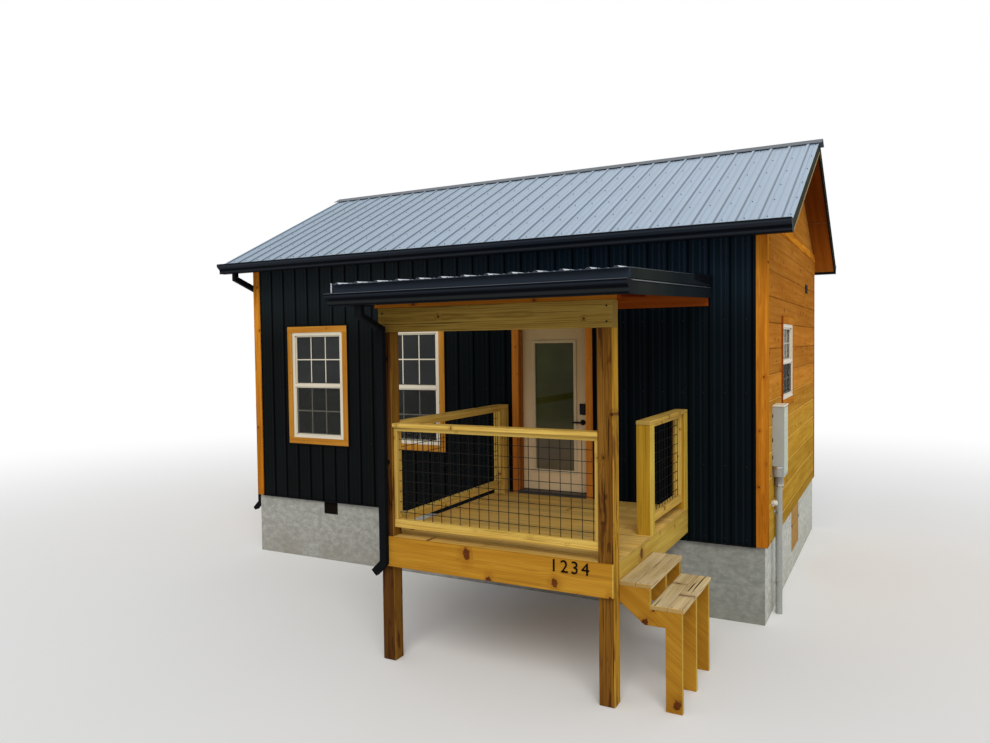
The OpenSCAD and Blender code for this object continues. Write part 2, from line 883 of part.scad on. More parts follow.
// Gutter with closed ends along X, its back rim at the origin
module gutter(len, h) {
    difference() {
        along_x(0, len) gutter_outline(h, 0);
        along_x(gutter_t, len - 2 * gutter_t) {
            gutter_outline(h, gutter_t);
            translate([gutter_t - gutter_w, -gutter_t]) square([gutter_w - 2 * gutter_t, gutter_t + cut]);
        }
    }
}

module gutters() {
    color("black") {
        front_and_back() translate([-roof_l / 2, main_gutter_y, main_gutter_z]) gutter(roof_l, gutter_h);
        translate([porch_left, porch_gutter_y, porch_gutter_z])
            gutter(porch_l + gutter_past, porch_gutter_h);
    }
}

// Downspout centred on X = 0: outlet at y0, slanted run back to y1, straight drop, side shoe
module downspout(w, d, y0, y1, top, drop_1, drop_2, foot) {
    h = d / 2;
    m = h * tan(atan((y1 - y0) / (drop_2 - drop_1)) / 2);
    bend = foot + shoe_reach;
    side = w / 2;
    n = side * tan(shoe_a / 2);
    in = side * cos(shoe_a);
    along_x(-side, w)
        polygon([[y0 - h, top], [y0 - h, top - drop_1 - m], [y1 - h, top - drop_2 - m], [y1 - h, bend],
                 [y1 + h, bend], [y1 + h, top - drop_2 + m], [y0 + h, top - drop_1 + m], [y0 + h, top]]);
    along_y(y1 - h, d)
        polygon([[side, bend + side], [side, bend - n],
                 [in - shoe_reach, foot - in],
                 [-in - shoe_reach, foot + in],
                 [-side, bend + n], [-side, bend + side]]);
}

module downspouts() {
    color("black") {
        front_and_back() translate([-face_side - spout_d / 2 - seat, 0, 0])
            downspout(spout_d, spout_w, main_gutter_y - outlet, face_front + spout_back,
                      main_gutter_z - gutter_h - seat, bend_1, bend_2, main_shoe);
        translate([post_left + porch_spout_x, 0, 0])
            downspout(spout_w, spout_d, porch_gutter_y - outlet, skirt_y - spout_d / 2 - seat,
                      porch_gutter_z - porch_gutter_h - seat, porch_bend_1, porch_bend_2, porch_shoe);
    }
}

// Cabinet on the right gable with the fitting and the conduit under it
module electric_meter() {
    y0 = face_front + meter_y;
    z0 = clad_z + meter_z;
    color("lightslategray") {
        block([face_side, y0, z0], [face_side + meter_t, y0 + meter_w, z0 + meter_h]);
        translate([face_side + conduit_d / 2 + conduit_off, y0 + meter_w / 2, 0]) {
            cylinder(d = conduit_d, h = z0, $fn = 48);
            translate([0, 0, z0 - fitting_h]) cylinder(d = fitting_d, h = fitting_h, $fn = 48);
        }
    }
}

// Porch posts, each with a notch at the top that carries the beam
module porch_posts() {
    color("peru") for (x = [post_left, post_right - post_s]) difference() {
        block([x, post_y, 0], [x + post_s, post_y + post_s, beam_top]);
        block([x - cut, post_y - cut, beam_foot], [x + post_s + cut, post_y + beam_t, beam_top + cut]);
    }
}

module porch_beam() {
    color("khaki") block([post_left, post_y, beam_foot], [post_right, post_y + beam_t, beam_top]);
}

// Outline in Y and Z under the porch roofing, from a drop below it to a lower drop
module porch_strip(y0, y1, drop_top, drop_foot) {
    polygon([[y0, porch_top(y0) - drop_foot], [y1, porch_top(y1) - drop_foot],
             [y1, porch_top(y1) - drop_top], [y0, porch_top(y0) - drop_top]]);
}

// Plate on the beam, rafters, blocking over the plate, ledger and the boards across the rafters
module porch_roof_frame() {
    left = porch_left + trim_t;
    len = porch_l - 2 * trim_t;
    pitch = (len - board_t) / (rafter_n - 1);
    ledger_top = porch_top(face_front) - lay_t;
    color("peru") {
        block([post_left - plate_oh, post_y, beam_top],
              [post_right + plate_oh, post_y + beam_t, beam_top + plate_t]);
        for (i = [0:rafter_n - 1])
            along_x(left + i * pitch, board_t)
                porch_strip(porch_edge_y, ledger_y + bite, lay_t - bite, lay_t + rafter_h);
        along_x(post_left - plate_oh, porch_w + 2 * plate_oh)
            polygon([[post_y, beam_top + plate_t - bite], [post_y + board_t, beam_top + plate_t - bite],
                     [post_y + board_t, porch_top(post_y + board_t) - lay_t + bite],
                     [post_y, porch_top(post_y) - lay_t + bite]]);
        along_x(left, len) {
            polygon([[ledger_y, ledger_top - ledger_h], [face_front, ledger_top - ledger_h],
                     [face_front, ledger_top + bite], [ledger_y, porch_top(ledger_y) - lay_t + bite]]);
            porch_strip(porch_edge_y, face_front, 0, lay_t);
        }
    }
}

module porch_roof_metal() {
    slope_l = (face_front - seat - porch_eave_y) / cos(porch_a);
    color("darkslategray") translate([porch_left, face_front - seat, porch_top(face_front - seat)])
        rotate([porch_a, 0, 0]) translate([0, -slope_l, seat]) rotate([-90, 0, 0]) mirror([0, 1, 0])
            linear_extrude(slope_l - wall_gap) polygon(ribbed(porch_l));
}

// Board along the porch roof's side in Y and Z, with its heights at the front and at the wall
module side_strip(y0, front_h, back_h) {
    polygon([[y0, porch_top(y0)], [face_front, porch_top(face_front)],
             [face_front, porch_top(face_front) - back_h], [y0, porch_top(y0) - front_h]]);
}

// Black boards along the sides and the eave of the porch roof, a thicker band along the sides' tops
module porch_roof_trim() {
    outer_y = porch_edge_y - trim_t;
    foot = porch_top(outer_y) - rake_front_h;
    color("black") {
        for (x = [porch_left, porch_left + porch_l - trim_t])
            along_x(x, trim_t) side_strip(outer_y, rake_front_h, rake_back_h);
        for (x = [porch_left - band_out, porch_left + porch_l - trim_t])
            along_x(x, trim_t + band_out) side_strip(outer_y, band_front_h, band_back_h);
        along_x(porch_left + trim_t, porch_l - 2 * trim_t)
            polygon([[outer_y, porch_top(outer_y)], [porch_edge_y, porch_top(porch_edge_y)],
                     [porch_edge_y, foot], [outer_y, foot]]);
    }
}

// Skirt board in front of the posts, rims beside them, a ledger at the wall and joists between
module deck_frame() {
    foot = frame_z - skirt_h + deck_t;
    in_left = post_left + post_s;
    in_right = post_right - post_s;
    pitch = (in_right - in_left - board_t) / (joist_n + 1);
    color("goldenrod") {
        block([post_left, skirt_y, deck_z - skirt_h], [post_right, post_y, deck_z]);
        block([in_left, post_y, foot], [in_right, post_y + board_t, frame_z]);
        for (x = [in_left:pitch:in_right - board_t + cut])
            block([x, post_y, foot], [x + board_t, ledger_y, frame_z]);
        block([post_left, ledger_y, foot], [post_right, face_front, frame_z]);
        for (x = [post_left, post_right - board_t])
            block([x, post_y + post_s, foot], [x + board_t, ledger_y, frame_z]);
    }
}

// Deck boards along X, cut out round the posts
module deck_boards() {
    depth = face_front - post_y;
    rows = floor((depth + plank_gap) / (plank_w + plank_gap));
    pitch = (depth + plank_gap) / rows;
    color("tan") difference() {
        for (y = [post_y:pitch:face_front - plank_w / 2])
            block([post_left, y, frame_z], [post_right, y + pitch - plank_gap, deck_z]);
        for (x = [post_left, post_right - post_s]) post_space(x, post_y, post_s);
        post_space(post_left, face_front - wall_post, wall_post);
        post_space(post_right - wall_post, face_front - wall_post, wall_post);
        post_space(post_right - post_s, newel_back - post_s, post_s);
    }
}

// Room for a post that comes up through the deck boards
module post_space(x, y, side) {
    block([x - seat, y - seat, frame_z - cut], [x + side + seat, y + side + seat, deck_z + cut]);
}

// Rail panel along X: a cap that runs past its ends, bottom rail, two layers of strips for the mesh
module rail_panel(len, before, after) {
    strip_foot = rail_foot + board_t;
    block([-before, 0, cap_foot], [len + after, cap_w, cap_foot + board_t]);
    block([0, (cap_w - bottom_w) / 2, rail_foot], [len, (cap_w + bottom_w) / 2, strip_foot]);
    for (y = [cap_w / 2 - wire / 2 - seat - strip_s, cap_w / 2 + wire / 2 + seat]) difference() {
        block([0, y, strip_foot], [len, y + strip_s, cap_foot]);
        block([strip_s, y - cut, strip_foot + strip_s],
              [len - strip_s, y + strip_s + cut, cap_foot - strip_s]);
    }
}

// Welded mesh in X and Z, caught between a rail panel's strips
module mesh_panel(len) {
    low = rail_foot + board_t;
    along = len - wire;
    up = cap_foot - low - wire;
    translate([0, (cap_w + wire) / 2, low]) rotate([90, 0, 0]) linear_extrude(wire) difference() {
        square([len, cap_foot - low]);
        for (x = [0:mesh_pitch:along - cut], z = [0:mesh_pitch:up - cut])
            translate([x + wire, z + wire])
                square([min(mesh_pitch, along - x) - wire, min(mesh_pitch, up - z) - wire]);
    }
}

front_rail_l = porch_w - 2 * post_s;
left_rail_l = face_front - wall_post - post_y - post_s;
right_rail_l = face_front - wall_post - newel_back;

module at_front_rail() {
    translate([post_left + post_s, post_y, 0]) children();
}

module at_left_rail() {
    translate([post_left + cap_w, post_y + post_s, 0]) rotate([0, 0, 90]) children();
}

module at_right_rail() {
    translate([post_right, newel_back, 0]) rotate([0, 0, 90]) children();
}

// Square post on the deck frame, under the rail's cap
module rail_post(x, y, side) {
    block([x, y, frame_z], [x + side, y + side, cap_foot]);
}

module front_rail() {
    color("gold") at_front_rail() rail_panel(front_rail_l, 0, 0);
}

module left_rail() {
    color("gold") {
        at_left_rail() rail_panel(left_rail_l, 0, wall_post);
        rail_post(post_left, face_front - wall_post, wall_post);
    }
}

module right_rail() {
    color("gold") {
        at_right_rail() rail_panel(right_rail_l, post_s + cap_past, wall_post);
        rail_post(post_right - post_s, newel_back - post_s, post_s);
        rail_post(post_right - wall_post, face_front - wall_post, wall_post);
    }
}

module front_rail_mesh() {
    color("black") at_front_rail() mesh_panel(front_rail_l);
}

module left_rail_mesh() {
    color("black") at_left_rail() mesh_panel(left_rail_l);
}

module right_rail_mesh() {
    color("black") at_right_rail() mesh_panel(right_rail_l);
}

// Three cut stringers, each with a foot on the near ground and a leg down the slope
module step_stringers() {
    run = tread_d - nosing;
    back = post_right;
    toe = back + 2 * run;
    top = tread_1 - tread_t;
    step = tread_2 - tread_t;
    ground = tread_2 - step_ground;
    color("goldenrod") for (y = [step_y, step_y + (tread_l - board_t) / 2, step_y + tread_l - board_t])
        along_y(y, board_t)
            polygon([[back, top], [back + run, top], [back + run, step], [toe, step], [toe, 0],
                     [toe - stringer_leg, 0], [toe - stringer_leg, ground],
                     [toe - stringer_foot, ground], [back, top - stringer_h]]);
}

// Two treads of two boards each; each one's front edge stands out over the stringers
module step_treads() {
    w = (tread_d - tread_gap) / 2;
    color("tan") {
        for (x = [post_right, post_right + w + tread_gap])
            block([x, step_y, tread_1 - tread_t], [x + w, step_y + tread_l, tread_1]);
        for (x = [post_right + tread_d - nosing, post_right + tread_d - nosing + w + tread_gap])
            block([x, step_y, tread_2 - tread_t], [x + w, step_y + tread_l, tread_2]);
    }
}

foundation_long_walls();
foundation_end_walls();
vents();
crawl_hatch();
floor_platform();
front_wall_left();
front_wall_right();
front_wall_over_door();
back_wall();
left_wall();
right_wall();
metal_siding();
board_siding();
trim_boards();
window_frames();
window_glass();
casings();
door_frame();
door_threshold();
entry_door();
door_glass();
door_hardware();
roof_frame_front();
roof_frame_back();
roof_metal();
ridge_cap();
roof_edge_trim();
gutters();
downspouts();
electric_meter();
porch_posts();
porch_beam();
porch_roof_frame();
porch_roof_metal();
porch_roof_trim();
deck_frame();
deck_boards();
front_rail();
left_rail();
right_rail();
front_rail_mesh();
left_rail_mesh();
right_rail_mesh();
step_stringers();
step_treads();
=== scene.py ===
# Looks of a small porch house: finishes, lumber, windows, fasteners and fittings over its CAD frame.
import math
import random
from itertools import product

import bmesh
import bpy
import numpy as np
from mathutils import Matrix, Vector


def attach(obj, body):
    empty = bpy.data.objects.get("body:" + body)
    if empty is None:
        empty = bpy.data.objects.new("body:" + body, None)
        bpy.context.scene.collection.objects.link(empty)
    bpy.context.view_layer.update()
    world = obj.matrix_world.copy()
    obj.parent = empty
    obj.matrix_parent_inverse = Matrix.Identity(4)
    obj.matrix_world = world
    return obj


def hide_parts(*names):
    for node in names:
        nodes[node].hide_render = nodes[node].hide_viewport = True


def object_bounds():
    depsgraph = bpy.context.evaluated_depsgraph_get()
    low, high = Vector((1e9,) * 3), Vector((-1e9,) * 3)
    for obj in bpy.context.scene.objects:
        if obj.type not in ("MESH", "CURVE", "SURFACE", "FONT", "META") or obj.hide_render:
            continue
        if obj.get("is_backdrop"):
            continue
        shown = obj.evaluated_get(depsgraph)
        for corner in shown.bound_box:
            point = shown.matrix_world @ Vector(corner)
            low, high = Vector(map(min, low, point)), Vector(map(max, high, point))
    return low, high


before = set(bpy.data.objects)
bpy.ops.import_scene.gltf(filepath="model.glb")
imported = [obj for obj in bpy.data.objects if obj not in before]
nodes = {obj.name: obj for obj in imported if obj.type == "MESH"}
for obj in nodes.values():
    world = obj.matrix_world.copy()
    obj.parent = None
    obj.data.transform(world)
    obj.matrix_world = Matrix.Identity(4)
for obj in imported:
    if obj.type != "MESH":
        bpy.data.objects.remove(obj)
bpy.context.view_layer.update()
rng = random.Random(7)

# Places in the house, in metres
FRONT = -0.1315
BACK = 4.8055
MIDDLE = 2.337
SIDE = 3.6875
CLAD_FOOT = 0.850
DECK = 1.225
EAVE_EDGE = -0.3815
ROOF_TILT = math.atan(0.5)
ROOF_LENGTH = 7.959
RIB = 0.2286
RIB_EDGE = 0.060
WINDOW_TOP = 3.280
POST_LEFT = 0.455
POST_RIGHT = 2.835
POST = 0.140
POST_Y = -2.6315
SKIRT_Y = -2.6695
NEWEL_BACK = -1.4265
ROOF_RIB_X = -3.9195
SIDING_RIB_X = -3.5774
PORCH_ROOF_LEFT = 0.195
PORCH_ROOF_RIGHT = 3.095
PORCH_ROOF_TOP = 3.671
PORCH_ROOF_SLOPE = 0.04805
PORCH_TRIM_Y = -2.9635
ROOF_FOOT = 4.335
WINDOW_XS = (-2.478, -0.879)
WINDOW_WIDE = 0.914
WINDOW_HIGH = 1.524
GABLE_WINDOW_Y = FRONT + 1.62
CASING = 0.090
CORNER_BOARD = 0.118
COURSE = 0.2835
FIRST_COURSE = 0.155


# Wires through a material

class Wire:
    """A value, colour or vector on its way to a shader's socket."""

    def __init__(self, finish, socket):
        self.finish = finish
        self.socket = socket
        self.flat = socket.type in ("VALUE", "INT", "BOOLEAN")

    def _both(self, kind, first, second):
        pair = (first, second)
        if all(item.flat if isinstance(item, Wire) else isinstance(item, (int, float)) for item in pair):
            return self.finish.node("ShaderNodeMath", {"operation": kind}, {0: first, 1: second})
        first, second = [(item,) * 3 if isinstance(item, (int, float)) else item for item in pair]
        return self.finish.node("ShaderNodeVectorMath", {"operation": kind}, {0: first, 1: second})

    def __add__(self, other):
        return self._both("ADD", self, other)

    __radd__ = __add__

    def __mul__(self, other):
        return self._both("MULTIPLY", self, other)

    __rmul__ = __mul__

    def __sub__(self, other):
        return self._both("SUBTRACT", self, other)

    def __rsub__(self, other):
        return self._both("SUBTRACT", other, self)

    def __truediv__(self, other):
        return self._both("DIVIDE", self, other)

    def __pow__(self, other):
        return self._both("POWER", self, other)

    def smooth(self, low, high):
        """0 below low, 1 above high, and soft between; low may be above high."""
        return self.finish.node("ShaderNodeMapRange", {"interpolation_type": "SMOOTHSTEP"},
                                {"Value": self, "From Min": low, "From Max": high}, "Result")

    def turned(self, kind):
        """The outcome of a Math node that takes one value, such as SINE or ABSOLUTE."""
        return self.finish.node("ShaderNodeMath", {"operation": kind}, {0: self})

    def parts(self):
        """Its X, Y and Z, each a value."""
        return [self.finish.node("ShaderNodeSeparateXYZ", {}, {0: self}, axis) for axis in "XYZ"]


class Finish:
    """A material under construction, with its shader and its pattern nodes."""

    def __init__(self, name, roughness=0.5, metallic=0.0, specular=0.5):
        self.material = bpy.data.materials.new(name)
        self.material.use_nodes = True
        self.tree = self.material.node_tree
        self.tree.nodes.clear()
        self.shader = self.tree.nodes.new("ShaderNodeBsdfPrincipled")
        self.shader.inputs["Roughness"].default_value = roughness
        self.shader.inputs["Metallic"].default_value = metallic
        self.shader.inputs["Specular IOR Level"].default_value = specular
        self.output = self.tree.nodes.new("ShaderNodeOutputMaterial")
        self.tree.links.new(self.shader.outputs[0], self.output.inputs["Surface"])

    def node(self, kind, settings=None, sockets=None, out=0):
        """Makes one node: its settings first, then the values or links of its sockets."""
        made = self.tree.nodes.new(kind)
        for key, value in (settings or {}).items():
            setattr(made, key, value)
        for key, value in (sockets or {}).items():
            self.join(made, key, value)
        return Wire(self, self.find(made.outputs, out))

    def find(self, sockets, key):
        """The socket at that place in the row, or with that identifier, or else with that name."""
        if isinstance(key, int):
            return sockets[key]
        named = [s for s in sockets if s.identifier == key] + [s for s in sockets if s.name == key]
        return named[0]

    def join(self, made, key, value):
        """Links a Wire to a node's socket, or sets the socket to a plain value."""
        socket = self.find(made.inputs, key)
        if isinstance(value, Wire):
            self.tree.links.new(value.socket, socket)
        elif socket.type == "RGBA":
            socket.default_value = (*value, 1.0)
        else:
            socket.default_value = value

    def set(self, **sockets):
        """Links or sets the shader's own sockets, such as base_color or roughness."""
        for key, value in sockets.items():
            self.join(self.shader, key.replace("_", " ").title(), value)

    def place(self):
        """The place in the house, in metres."""
        return self.node("ShaderNodeTexCoord", {}, {}, "Object")

    def outward(self):
        """The X, Y and Z of the way that a face looks."""
        return self.node("ShaderNodeTexCoord", {}, {}, "Normal").parts()

    def vector(self, x, y, z=0.0):
        return self.node("ShaderNodeCombineXYZ", {}, {"X": x, "Y": y, "Z": z})

    def cells(self, where, scale, out, **settings):
        """The nearest of many scattered points: its Distance or its random Color."""
        return self.node("ShaderNodeTexVoronoi", {"feature": "F1", **settings},
                         {"Vector": where, "Scale": scale}, out)

    def own(self, name):
        """An attribute of the piece's own mesh, such as the grain of its boards."""
        return self.node("ShaderNodeAttribute", {"attribute_name": name}, {}, "Vector")

    def noise(self, where, scale=1.0, detail=2.0, rough=0.5, warp=0.0):
        return self.node("ShaderNodeTexNoise", {},
                         {"Vector": where, "Scale": scale, "Detail": detail, "Roughness": rough,
                          "Distortion": warp})

    def mix(self, share, first, second, blend="MIX"):
        return self.node("ShaderNodeMix", {"data_type": "RGBA", "blend_type": blend},
                         {"Factor_Float": share, "A_Color": first, "B_Color": second}, "Result_Color")

    def faded(self, tint, axis, full, none, scale):
        """The tint times scale at the place full along an axis, easing to the plain tint at none."""
        return self.mix(self.place().parts()[axis].smooth(none, full), tint, tint * scale)

    def bump(self, height, distance, strength=1.0):
        self.set(normal=self.node("ShaderNodeBump", {},
                                  {"Height": height, "Distance": distance, "Strength": strength}, "Normal"))


# Finishes

def scaled(tint, share):
    return tuple(min(1.0, c * share) for c in tint)


KNOT_GRID = 3.4      # places for a knot in a metre of board
HEART_DEPTH = 0.028  # how far from a board's middle its rings have their centre
RING_WAVES = 540.0
END_RING_WAVES = 900.0
FIBRE = (9.0, 420.0, 420.0)


def wood(name, light, dark, late, knot=(0.10, 0.035, 0.01), rings=0.35, streaks=0.6, knots=0.5, checks=0.0,
         weather=0.0, grey=None, spread=0.25, roughness=0.70, specular=0.03, edge=0.0, knot_size=1.0,
         spike=1.25, blotch=0.0, facing=None, fade=None, pale=None):
    """Sawn lumber: rings, fibres, knots and checks along each board's own grain.

    The wood goes from light to dark in its streaks, and late is the tint of its rings. rings, streaks, knots,
    checks and weather say how strongly each shows, weather with the tint grey, and spread how far boards
    differ. edge is how far from a board's middle its dark rim lies, painted shade of the gaps between
    boards. A low spike draws the knots out across the board, and blotch darkens long patches. facing
    (axis, sign, scale) paints light or shade by scaling the tint of faces that look that way, fade is as
    for faded, and pale is the tint of a painted highlight on the upward faces that lit_tops marks, which
    turns to painted shade high up under the eaves.
    """
    f = Finish(name, specular=specular)
    grain = f.own("grain")
    tone, seed, end = f.own("board").parts()
    along, across, depth = grain.parts()

    wander = f.noise(grain, 24.0, 2.0) * 0.040
    centre = f.vector(along + wander, across * spike + seed * 7.0 - wander)
    spot = f.cells(centre, KNOT_GRID, "Distance", voronoi_dimensions="2D")
    odds, size, _ = f.cells(centre, KNOT_GRID, "Color", voronoi_dimensions="2D").parts()
    radius = (size * 0.050 + 0.022) * knot_size
    share = spot / (radius * (f.noise(grain, 60.0, 1.0) * 0.7 + 0.65))
    there = odds.smooth(1.0 - knots, 1.0 - knots + 0.02)
    knot_core = share.smooth(1.05, 0.75) * there
    knot_halo = share.smooth(3.4, 0.9) * there

    drift = f.noise(grain * (1.3, 5.0, 5.0), 1.0, 3.0) * 0.030 + knot_halo * 0.010
    sided = across + (seed * 0.06 - 0.03)
    below = depth + HEART_DEPTH
    distance = (sided * sided + below * below) ** 0.5 + drift
    ring = (distance * RING_WAVES).turned("SINE") * 0.5 + 0.5
    ring = (ring ** 2.2) * f.noise(grain * (2.0, 30.0, 30.0), 1.0, 1.0).smooth(0.25, 0.65)

    streak = f.noise(grain * (0.7, 15.0, 15.0), 1.0, 4.0, 0.62).smooth(0.36, 0.64)
    cloud = f.noise(grain * (1.6, 3.0, 3.0), 1.0, 3.0, 0.6).smooth(0.30, 0.72)
    fibre = f.noise(grain * FIBRE, 1.0, 2.0, 0.6)
    tint = f.mix(streak * streaks, light, dark)
    tint = f.mix(cloud * 0.30, tint, dark)
    tint = f.mix(ring * rings, tint, late)
    tint = f.mix(fibre.smooth(0.45, 0.75) * 0.16, tint, dark)
    if blotch:
        patch = f.noise(grain * (2.6, 17.0, 17.0), 1.0, 3.0, 0.55, 0.4).smooth(0.56, 0.66)
        tint = f.mix(patch * blotch, tint, scaled(knot, 1.6))
    tint = f.mix(knot_halo * 0.40, tint, late)
    tint = f.mix(knot_core, tint, f.mix(ring, knot, scaled(knot, 2.2)))
    if weather:
        stain = f.noise(f.place(), 2.3, 5.0, 0.6).smooth(0.35, 0.70)
        tint = f.mix(stain * weather, tint, grey)
    crack = f.noise(grain * (1.0, 60.0, 60.0), 1.0, 1.0).smooth(0.66, 0.70)
    if checks:
        tint = f.mix(crack * checks, tint, scaled(knot, 0.35))
    end_rings = ((across * across + depth * depth) ** 0.5 * END_RING_WAVES).turned("SINE") * 0.5 + 0.5
    end_look = f.mix(end_rings * 0.35, scaled(light, 0.72), scaled(late, 0.55))
    tint = f.mix(end.smooth(0.7, 0.9), tint, end_look)

    if fade:
        tint = f.faded(tint, *fade)
    # Painted light and shade: faces that look one way are made lighter, or darker where scale is below one.
    if facing:
        axis, sign, scale = facing
        lean = f.outward()[axis] * sign
        tint = f.mix(lean.smooth(0.4, 0.8), tint, tint * scale)
    # Painted highlight on the boards' upward faces, turning to painted shade high up under the eaves.
    if pale:
        top_highlight = (end - 0.5).turned("ABSOLUTE").smooth(0.3, 0.1) * (streak * 0.35 + 0.55)
        low = f.place().parts()[2].smooth(3.1, 2.3)
        tint = f.mix(top_highlight, tint, f.mix(low, scaled(late, 0.45), pale))
    brightness = tone * spread + (1.0 - spread / 2)
    warmth = seed - 0.5
    shade = f.vector(brightness, brightness * (1.0 + warmth * 0.05), brightness * (1.0 + warmth * 0.10))
    tint = f.mix(1.0, tint, shade, "MULTIPLY")
    # Painted shade of the gaps: a dark rim along each board's long edges.
    if edge:
        rim = across.turned("ABSOLUTE").smooth(edge - 0.009, edge)
        tint = f.mix(rim * 0.75, tint, scaled(late, 0.25))
    f.set(base_color=tint, roughness=fibre * 0.18 + (roughness - 0.09) + knot_core * -0.15)
    relief = fibre * 0.35 + ring * -0.35 + knot_core * 0.5 + streak * 0.2 - crack * (2.0 * checks)
    f.bump(relief, 0.0012, 0.6)
    return f.material


SMALL_RIB = RIB / 3  # from a main rib to the small ones beside it


def painted(name, tint, roughness=0.4, metallic=0.0, specular=0.5, dust=0.0, dust_tint=(0.30, 0.29, 0.27),
            patchy=0.10, waves=0.0, foot=None, streak=0.0, ribs=None, shade=None, shine=None,
            small_ribs=None, lit_side=False, front_back_tint=None, right_side_tint=None, fade=None, side_fade=None,
            bands=()):
    """Painted metal, vinyl or enamel: a little uneven, faintly wavy, dusty where dust is given.

    With a foot the dust gathers towards that height, and streak is how strongly it runs down. ribs is the
    place of the first rib of a sheet along X. shade and shine tint the right and left flanks of its main
    ribs, and small_ribs the ones between: painted shade where the tint is darker, and a painted highlight
    where it is lighter. lit_side makes the painted highlight on the left flanks brighter towards the right.
    front_back_tint tints the faces to the front and back, and right_side_tint those to the right, with
    painted shade and painted reflections as each finish below says. fade and side_fade are as for faded,
    and bands gives (middle height, half height, tint) of painted sheens.
    """
    f = Finish(name, metallic=metallic, specular=specular)
    where = f.place()
    across, _, height = where.parts()
    cloud = f.noise(where, 1.7, 4.0, 0.55)
    grit = f.noise(where, 60.0, 3.0, 0.6)
    fine = f.noise(where, 420.0, 1.0)
    base = f.mix(cloud.smooth(0.30, 0.72), scaled(tint, 1.0 - patchy), scaled(tint, 1.0 + patchy))
    # Painted shade and painted highlights on the flanks of the ribs, placed along X.
    if ribs is not None:
        off = f.node("ShaderNodeMath", {"operation": "WRAP"}, {0: across - ribs, 1: RIB / 2, 2: -RIB / 2})
        rightward = across.smooth(-0.8, 2.6)
        lit = rightward * 0.45 + 0.15 if lit_side else 0.6
        base = f.mix(off.smooth(0.010, 0.014) * off.smooth(0.033, 0.027), base, shade)
        base = f.mix(off.smooth(-0.004, -0.010) * off.smooth(-0.036, -0.030) * lit, base, shine)
        if small_ribs:
            near = (off.turned("ABSOLUTE") - SMALL_RIB).turned("ABSOLUTE")
            base = f.mix(near.smooth(0.013, 0.004) * (rightward * 0.6 + 0.15), base, small_ribs)
    # Painted sheens: bands of reflected light at the given heights.
    for middle, half, sheen in bands:
        base = f.mix((height - middle).turned("ABSOLUTE").smooth(half, half * 0.4), base, sheen)
    aside, ahead, _ = f.outward()
    # Tints for faces to the front and back and to the right: painted shade and painted reflections.
    if front_back_tint:
        base = f.mix(ahead.turned("ABSOLUTE").smooth(0.75, 0.9), base, front_back_tint)
    if right_side_tint:
        base = f.mix(aside.smooth(0.96, 0.99), base, right_side_tint)
    for each in (fade, side_fade):
        base = f.faded(base, *each) if each else base
    if streak:
        run = f.noise(where * (26.0, 26.0, 0.7), 1.0, 3.0, 0.6).smooth(0.50, 0.78)
        base = f.mix(run * streak, base, dust_tint)
    if dust:
        share = grit.smooth(0.35, 0.85) * dust
        if foot is not None:
            share = share * (height.smooth(foot + 0.9, foot - 0.1) * 0.85 + 0.15)
        base = f.mix(share, base, dust_tint)
    f.set(base_color=base, roughness=(cloud - 0.5) * 0.18 + grit * 0.10 + (roughness - 0.05))
    f.bump(f.noise(where * (2.5, 2.5, 1.4), 1.0, 1.0) + fine * 0.02, waves * 10.0, 0.5)
    return f.material


BLOCK_LENGTH = 0.4064


def parging(name):
    """Grey parged blockwork: trowel sweeps, damp at the foot, faint joints of the blocks under it."""
    f = Finish(name, specular=0.25)
    where = f.place()
    x, y, z = where.parts()
    sweep = f.noise(where * (1.0, 1.0, 1.6), 9.0, 6.0, 0.70, 0.2)
    grit = f.noise(where, 140.0, 3.0, 0.7)
    pits = f.cells(where, 46.0, "Distance").smooth(0.16, 0.05)
    course = f.node("ShaderNodeTexBrick", {"offset": 0.5}, {
        "Vector": f.vector(x + y, z), "Scale": 1.0,
        "Brick Width": BLOCK_LENGTH, "Row Height": BLOCK_LENGTH / 2,
        "Mortar Size": 0.006, "Mortar Smooth": 0.9,
        "Color1": (0, 0, 0), "Color2": (0, 0, 0), "Mortar": (1, 1, 1)}, "Fac")
    base = f.mix(sweep.smooth(0.36, 0.66), (0.300, 0.295, 0.265), (0.435, 0.425, 0.380))
    base = f.mix(grit.smooth(0.45, 0.8) * 0.35, base, (0.22, 0.215, 0.20))
    base = f.mix(course * 0.30, base, (0.26, 0.255, 0.24))
    damp = z.smooth(0.55, 0.0) * f.noise(where * (1.0, 1.0, 0.5), 3.0, 4.0).smooth(0.25, 0.7)
    base = f.mix(damp * 0.55, base, (0.24, 0.21, 0.165))
    # Painted light and shade: faces to the right lighter, the rest a little darker, and darker still beside
    # the steps.
    right_face = f.outward()[0].smooth(0.4, 0.8)
    base = f.mix(right_face, base * (0.92, 0.93, 0.93), base * (1.44, 1.50, 1.50))
    base = f.mix(x.smooth(2.5, 3.1) * (1.0 - right_face), base, base * (0.74, 0.78, 0.78))
    f.set(base_color=base, roughness=grit * 0.1 + 0.82)
    f.bump(sweep * 0.6 + grit * 0.12 - pits * 0.25 - course * 0.25, 0.006, 0.8)
    return f.material


